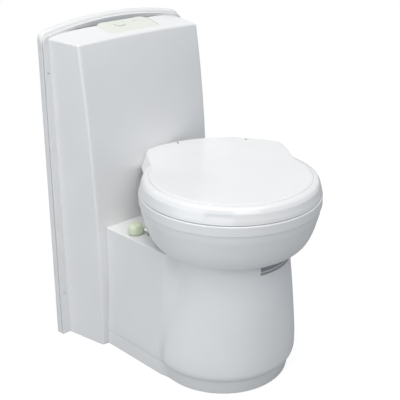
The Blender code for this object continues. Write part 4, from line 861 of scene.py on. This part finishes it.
def lid_ring(inset, z, foot=0.0, groove=0.0):
    """Lid ring at a height, scooped in at the finger grip, with a groove in front of the rear block.

    The scoop's inset grows evenly up the skirt and fades over the shoulder and at both sides.
    """
    down = lid_z[1] - z
    flare, draw = (float(through_table(lid_below[::-1], row[::-1], down)) for row in (block_flare, block_draw))
    plan = lid_plan(lid_r - inset - foot, flare - foot, draw + foot)
    turn = np.arctan2(plan[:, 1], plan[:, 0]) - math.radians(grip_deg)
    away = np.abs(np.arctan2(np.sin(turn), np.cos(turn))) * lid_r
    up, over = (z - grip_z[0]) / (grip_z[1] - grip_z[0]), (grip_z[2] - z) / (grip_z[2] - grip_z[1])
    scoop = grip_depth * float(np.clip(up, 0.0, 1.0) * smoothstep(over)) * smoothstep((grip_half - away) / grip_fade)
    plan = plan * (1 - scoop / lid_r)[:, None]
    return at_height(plan, z - groove * smoothstep((block_front[0] - plan[:, 1]) / block_front[1]))


def mirrored(xs, sign):
    """A piece's two x places on the left or the right, in rising order."""
    return sorted(sign * x for x in xs)


def beside(plan, x):
    """Gives a (y, z) ring its x."""
    return np.column_stack([np.full(len(plan), x), plan])


def pin_hole(name, xs, over, radius):
    """A round bar along the hinge line, longer than xs at both ends."""
    return bar(name, (xs[0] - over, pin_y, pin_z), (xs[1] + over, pin_y, pin_z), radius, 48, turn=True)


# Lid: foot, leaning skirt, rounded shoulder, ring line and a top that domes a little
rings = [lid_ring(0.0, lid_z[0] + lid_foot_r - u, i) for i, u in quarter(lid_foot_r, 3)[::-1]]
for down in np.concatenate([np.linspace(0.0334, 0.0139, 22), np.linspace(0.0129, 0.0052, 16)]):
    rings.append(lid_ring(float(through_table(lid_below[::-1], lid_inset[::-1], down)), lid_z[1] - down))
insets = np.concatenate([np.linspace(0.0128, 0.0176, 10), np.linspace(0.0180, 0.0228, 25), (0.0245, 0.0270, 0.0300)])
for inset in insets:
    groove = ring_line[1] * smoothstep(1 - abs(inset - ring_line[0]) / ring_line[2])
    rings.append(lid_ring(inset, lid_z[1] - float(through_table(lid_inset, lid_below, inset)), 0.0, groove))
plan, middle = rings[-1][:, :2], np.array(lid_middle)
rings += [at_height(middle + (plan - middle) * k, lid_z[1] + lid_dome * (1 - k * k))
          for k in (0.9, 0.75, 0.55, 0.35, 0.15)]
lid = bowl_skin("lid_shell", rings)
rings = [at_height(lid_plan(lid_r - inset, flare, lid_t), lid_z[1] - below)
         for inset, flare, below in zip(hollow_inset, hollow_flare, hollow_below)]
hollow = bowl_skin("tool_hollow", rings)
a = np.linspace(math.pi, 2 * math.pi, 33)
ear = polar(ear_r, a) + (pin_y, pin_z)
ear = np.concatenate([ear, [(pin_y + ear_r, lid_z[1] - lid_t / 2), (pin_y - ear_r, lid_z[1] - lid_t / 2)]])
legs, eyes, notches, reliefs = [], [], [], []
for side, sign in sides:
    xs = mirrored(ear_x, sign)
    legs.append(bowl_skin(f"tool_leg_{side}", [beside(ear, x) for x in xs]))
    eyes.append(pin_hole(f"tool_eye_{side}", xs, eye_over, eye_r))
    notches.append(block(f"tool_notch_{side}", mirrored(notch_x, sign), notch_y,
                         (lid_z[0] - through, lid_z[1] + through), turn=True))
    reliefs.append(block(f"tool_relief_{side}", mirrored(relief_x, sign), relief_y, relief_z, turn=True))
shaped(lid, *cuts(*notches, hollow, *reliefs), *joins(*legs), *cuts(*eyes))
dress(lid, "lid", "white", "lid")

# Seat: a rounded section carried round between the outer edge and the hole
count = 176
a = np.arange(count) * 2 * math.pi / count
outer = polar(seat_r, a)
outer[:, 1] = np.minimum(outer[:, 1], seat_back_y)
middle = np.array(seat_hole_mid)
way = (outer - middle) / seat_hole
hole_edge = middle + (outer - middle) / np.hypot(*way.T)[:, None]
across = hole_edge - outer
width = np.hypot(*across.T)[:, None]
across = across / width
foot = [(seat_foot_r - u, seat_z[0] + i) for i, u in quarter(seat_foot_r, 4)]
shoulder = [(i, seat_z[1] - seat_round_r + u) for i, u in quarter(seat_round_r, 7)]
lip = [(i, seat_z[1] - seat_lip_drop - seat_lip_r + u) for i, u in quarter(seat_lip_r, 7)]
profile = [(0.0, step, z) for step, z in foot + shoulder]
profile += [(share, 0.0, seat_z[1]) for share in (0.2, 0.5, 0.8)]
profile += [(1.0, -step, z) for step, z in lip[::-1] + foot[::-1]]
rings = [at_height(outer + across * (width * share + step), z) for share, step, z in profile]
seat = bowl_skin("seat_ring", rings, loop=True)
tools = []
for side, sign in sides:
    xs = mirrored(arm_x, sign)
    arm = block(f"tool_arm_{side}", xs, arm_y, arm_z, turn=True)
    knuckle = pin_hole(f"tool_knuckle_{side}", xs, 0.0, knuckle_r)
    tools += joins(arm, knuckle) + cuts(pin_hole(f"tool_eye_{side}", xs, eye_over, eye_r))
shaped(seat, *tools)
dress(seat, "seat", "white", "seat")

# Hinge posts: a stem that is deeper in front than behind, under a round head
meets = [math.acos(stem / post_head) for stem in post_stem]
a = np.linspace(-meets[1], math.pi + meets[0], 48)
head = polar(post_head, a) + (pin_y, pin_z)
low_z = bay_floor_z + gap
outline = np.concatenate([[(pin_y + post_stem[1], low_z)], head, [(pin_y - post_stem[0], low_z)]])
toward = (outline - (pin_y, pin_z)) / np.hypot(*(outline - (pin_y, pin_z)).T)[:, None]
for side, sign in sides:
    rings = []
    for x, inset in ((post_x[0], post_edge), (post_x[0] + post_edge, 0.0),
                     (post_x[1] - post_edge, 0.0), (post_x[1], post_edge)):
        rings.append(beside(outline - toward * inset * (outline[:, 1:] > post_edge_z), sign * x))
    post = bowl_skin(f"hinge_leg_{side}", rings)
    shaped(post, *cuts(pin_hole(f"tool_eye_{side}", mirrored(post_x, sign), post_eye_over, post_eye_r)))
    dress(post, "bowl", "white", f"hinge_post_{side}")


def oval_ring(tables, z, inset=0.0, raised=0.0, count=176):
    """Oval ring at a height, from the rows z, half width, half depth, middle and power of its tables."""
    a, b, middle, power = (through_table(tables[0], row, z) for row in tables[1:])
    return oval((a - inset, b - inset), z + raised, middle, power, count)


# Funnel liner of the bowl, and the chute under it
funnel_wall = 0.003
funnel_lip_r = 0.0025
flange_z = (0.4197, 0.4205)
flange_bevel = 0.0008
funnel_tables = (
    (0.2968, 0.312, 0.325, 0.342, 0.360, 0.380, 0.400, 0.4158),
    (0.0485, 0.0495, 0.055, 0.072, 0.098, 0.122, 0.136, 0.1425),
    (0.0485, 0.0495, 0.055, 0.072, 0.090, 0.107, 0.117, 0.1225),
    (0.0, 0.0, -0.004, -0.012, -0.022, -0.030, -0.033, -0.034),
    (2.0, 2.0, 2.0, 2.0, 2.0, 2.1, 2.2, 2.3))
low_z, top = funnel_tables[0][0], funnel_tables[0][-1]
levels = np.linspace(low_z, top, 40)
rings = [oval_ring(funnel_tables, z) for z in levels]
rings += [mouth_ring(-slide_gap, z) for z in (top, flange_z[0])]
rings += [mouth_ring(-slide_gap - flange_bevel, flange_z[1])]
inner_half = np.array([funnel_tables[1][-1], funnel_tables[2][-1]]) - funnel_wall
rings += [oval(inner_half + i, flange_z[1] - funnel_lip_r + u, mouth_y, mouth_power)
          for i, u in quarter(funnel_lip_r, 4)[::-1]]
rings += [oval_ring(funnel_tables, z, funnel_wall) for z in levels[::-1][1:]]
funnel = bowl_skin("bowl_funnel", rings, loop=True)
shaped(funnel, *cuts(drain_tool()))
dress(funnel, "bowl", "white", "bowl_liner", "bowl_chute", sharp=40.0)

# Front dish that takes the urine, with its pipe
pipe_r = (0.006, 0.009)
dish_wall = 0.0025
dish_lip = (0.0012, 0.0006)
dish_floor_z = 0.3545
dish_tables = (
    (0.352, 0.355, 0.361, 0.374, 0.391, 0.404),
    (0.009, 0.0125, 0.026, 0.052, 0.070, 0.078),
    (0.009, 0.0125, 0.018, 0.028, 0.036, 0.040),
    (-0.084, -0.084, -0.083, -0.087, -0.092, -0.093),
    (2.0, 2.0, 2.0, 2.0, 2.0, 2.0))
rim_z = dish_tables[0][-1]
levels = np.linspace(dish_tables[0][0], rim_z, 26)
rings = [oval((r, r), low_z, drain_y, 2.0, 96) for r in pipe_r]
rings += [oval_ring(dish_tables, z, count=96) for z in levels]
rings += [oval_ring(dish_tables, rim_z, inset, raised, 96) for inset, raised in (dish_lip, (dish_wall, 0.0))]
rings += [oval_ring(dish_tables, z, dish_wall, dish_wall / 2, 96) for z in levels[::-1][1:-2]]
rings += [oval((pipe_r[0], pipe_r[0]), dish_floor_z, drain_y, 2.0, 96)]
dish = bowl_skin("urine_dish", rings, loop=True)
dress(dish, "bowl", "white", "urine_diverter", sharp=40.0)

# Control panel, button and lens on the column's top
panel = over_top("panel_plate", panel_half, panel_corner, -panel_sunk - panel_t, -panel_sunk)
tilt = math.atan2(float(top_z(button_at[0], button_at[1] + gap) - top_z(button_at[0], button_at[1] - gap)), 2 * gap)


def on_top(rings, at):
    """Seats rings drawn about a local origin on the panel's surface, tilted as the column's top is there."""
    rings = stacked(rings)
    c, s = math.cos(tilt), math.sin(tilt)
    turned = rings @ np.array([[1.0, 0.0, 0.0], [0.0, c, s], [0.0, -s, c]])
    return turned + (at[0], at[1], float(top_z(*at)) - panel_sunk)


def pill(half, z):
    """A level ring between an oval and a rectangle."""
    return oval(half, z, 0.0, 2.4, 64)


tools = []
for name, half, at, clear in (("button", button_half, button_at, slide_gap), ("lens", lens_half, lens_at, gap)):
    grown = np.array(half) + clear
    rings = [pill(grown, -through), pill(grown, -seat_bevel), pill(grown + seat_bevel, 0.0002),
             pill(grown + seat_bevel, through)]
    tools.append(skin(f"tool_{name}", on_top(rings, at)))
studs = [bar(f"tool_stud_{k}", (x, y, stud_low_z), (x, y, float(top_z(x, y)) - panel_t), stud_r, 16)
         for k, (x, y) in enumerate([(x, y) for x in stud_x for y in stud_y])]
shaped(panel, *cuts(*tools), *joins(*studs))
dress(panel, "frame", "pale_green", "control_panel")
rings = [pill(button_half, -button_under)]
rings += [pill(np.array(button_half) - i, button_proud - button_edge + u) for i, u in quarter(button_edge, 4)]
rings += [pill(np.array(button_half) * k, button_proud - button_dish * (1 - k * k))
          for k in (0.8, 0.6, 0.4, 0.2, 0.05)]
button = skin("button_cap", on_top(rings, button_at))
rings = [oval((stem_r, stem_r), z, 0.0, 2.0, 24) for z in (-stem_reach, -panel_t)]
shaped(button, *joins(skin("tool_stem", on_top(rings, button_at))))
dress(button, "button", "pale_green", "fan_button")
rings = [pill(lens_half, -panel_t)]
rings += [pill(np.array(lens_half) - i, -gap - lens_edge + u) for i, u in quarter(lens_edge, 3)]
lens = skin("level_window", on_top(rings, lens_at))
dress(lens, "frame", "pale_green", "level_lens", slot="green")

# Lever knob: an oval drop, narrower towards the swivel axis
z_table = (0.3058, 0.3078, 0.3120, 0.3190, 0.3245, 0.3272, 0.3285)
share_table = (0.78, 0.91, 1.00, 0.98, 0.88, 0.74, 0.60)
rings = []
for z in np.concatenate([[knob_z[0], 0.3063, 0.3070], np.linspace(0.3078, knob_z[1], 26)]):
    ring = oval(np.array(knob_half) * through_table(z_table, share_table, z), z, 0.0, 2.0, 72)
    ring[:, 1] *= 1 - knob_draw[0] * np.maximum(-ring[:, 0] / knob_half[0], 0.0) ** knob_draw[1]
    rings.append(ring)
rings += [at_height(rings[-1][:, :2] * k, knob_z[1] + knob_dome * (1 - k)) for k in (0.92, 0.8, 0.6, 0.3, 0.08)]
c, s = math.cos(math.radians(lever_deg)), math.sin(math.radians(lever_deg))
grid = stacked(rings) + (*knob_at, 0.0)
knob = skin("lever_grip", grid @ np.array([[c, s, 0.0], [-s, c, 0.0], [0.0, 0.0, 1.0]]))
bore = bar("tool_bore", *((reach * c, reach * s, bore_z) for reach in bore_reach), bore_r, 32)
shaped(knob, *cuts(bore))
dress(knob, "lever", "green", "lever_knob")


def numbered(name, count):
    return tuple(f"{name}_{number}" for number in range(1, count + 1))


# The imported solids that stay
stays = {
    "steel": (*numbered("flange_screw", 4), "urine_strainer", "hinge_pin_left", "hinge_pin_right",
              "valve_lever", "valve_blade", "tray_rail_left", "tray_rail_right", "tray_handle"),
    "rubber": (*numbered("seat_bumper", 4), *numbered("lid_bumper", 2), "lip_seal"),
    "grey": ("swivel_ring", "bearing_race", "urine_trough", "floor_pan", "slide_tray", "filter_tray"),
    "cream": ("duct_collar", "blade_guide", "outlet_duct", "urine_canister", "urine_hose"),
    "dark": ("solids_bin", "fan_frame", "fan_rotor", "fan_lead"),
    "green": ("canister_cap",),
    "board": ("control_board",),
    "carbon": ("carbon_filter",),
}
for finish, names in stays.items():
    for name in names:
        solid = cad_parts[name]
        solid.data.materials.clear()
        solid.data.materials.append(finishes[finish])

# Floor, light and camera
bpy.ops.mesh.primitive_plane_add(size=60.0, location=(0.0, 0.0, -0.0004))
floor = bpy.context.object
floor.name = "floor"
pure_white = (1.0, 1.0, 1.0, 1.0)
ground = bpy.data.materials.new("pale_floor")
ground.use_nodes = True
tree = ground.node_tree
tree.nodes.clear()
seen = add_node(tree, "LightPath", out="Is Camera Ray")
bounce = add_node(tree, "BsdfDiffuse", {"Color": (0.47, 0.47, 0.47, 1.0)})
matt = add_node(tree, "BsdfDiffuse", {"Color": (0.30, 0.30, 0.30, 1.0)})
lit = add_node(tree, "Emission", {"Color": pure_white, "Strength": 0.80})
near = add_node(tree, "AddShader", {0: matt, 1: lit})
far = add_node(tree, "Emission", {"Color": pure_white, "Strength": 1.0})
place = add_node(tree, "TexCoord", out="Object")
away = add_node(tree, "VectorMath", {0: place}, "Value", {"operation": "LENGTH"})
shown = add_node(tree, "MixShader", {0: away.clipped(0.8, 2.2), 1: near, 2: far})
both = add_node(tree, "MixShader", {0: seen, 1: bounce, 2: shown})
add_node(tree, "OutputMaterial", {"Surface": both}, None)
floor.data.materials.append(ground)

world = bpy.data.worlds.new("studio")
scene.world = world
world.use_nodes = True
tree = world.node_tree
tree.nodes.clear()
soft = add_node(tree, "Background", {"Color": (0.68, 0.84, 1.0, 1.0), "Strength": 0.30})
white = add_node(tree, "Background", {"Color": pure_white, "Strength": 1.0})
seen = [add_node(tree, "LightPath", out=f"Is {kind} Ray") for kind in ("Camera", "Glossy", "Transmission")]
either = seen[0].maths("MAXIMUM", seen[0], seen[1].maths("MAXIMUM", seen[1], seen[2]))
sky = add_node(tree, "MixShader", {0: either, 1: soft, 2: white})
add_node(tree, "OutputWorld", {"Surface": sky}, None)


def lamp(name, place, target, size, power, colour=(1.0, 1.0, 1.0)):
    """A soft square lamp that faces a point."""
    data = bpy.data.lights.new(name, "AREA")
    data.shape, data.size, data.energy, data.color = "SQUARE", size, power, colour
    made = bpy.data.objects.new(name, data)
    scene.collection.objects.link(made)
    made.location = place
    away = np.array(place) - np.array(target)
    pitch = math.atan2(math.hypot(away[0], away[1]), away[2])
    made.rotation_euler = (pitch, 0.0, math.atan2(away[0], -away[1]))
    return made


lamp("key", (-1.5, -2.7, 3.2), (0.0, 0.05, 0.4), 2.4, 54.0, (1.0, 0.975, 0.96))
lamp("top", (-0.5, -0.4, 5.0), (0.0, 0.1, 0.4), 4.0, 152.0, (1.0, 0.955, 0.90))
lamp("left", (-2.5, 0.2, 0.8), (0.0, 0.05, 0.3), 1.8, 18.5)

camera_data = bpy.data.cameras.new("camera")
camera = bpy.data.objects.new("camera", camera_data)
scene.collection.objects.link(camera)
camera.location = (-1.14987, -1.04555, 1.04991)
camera.rotation_euler = (math.radians(90 - 22.8625), 0.0, math.radians(-45.3742))
camera_data.lens, camera_data.sensor_width = 71.82, 36.0
scene.camera = camera
scene.view_settings.view_transform = "Standard"
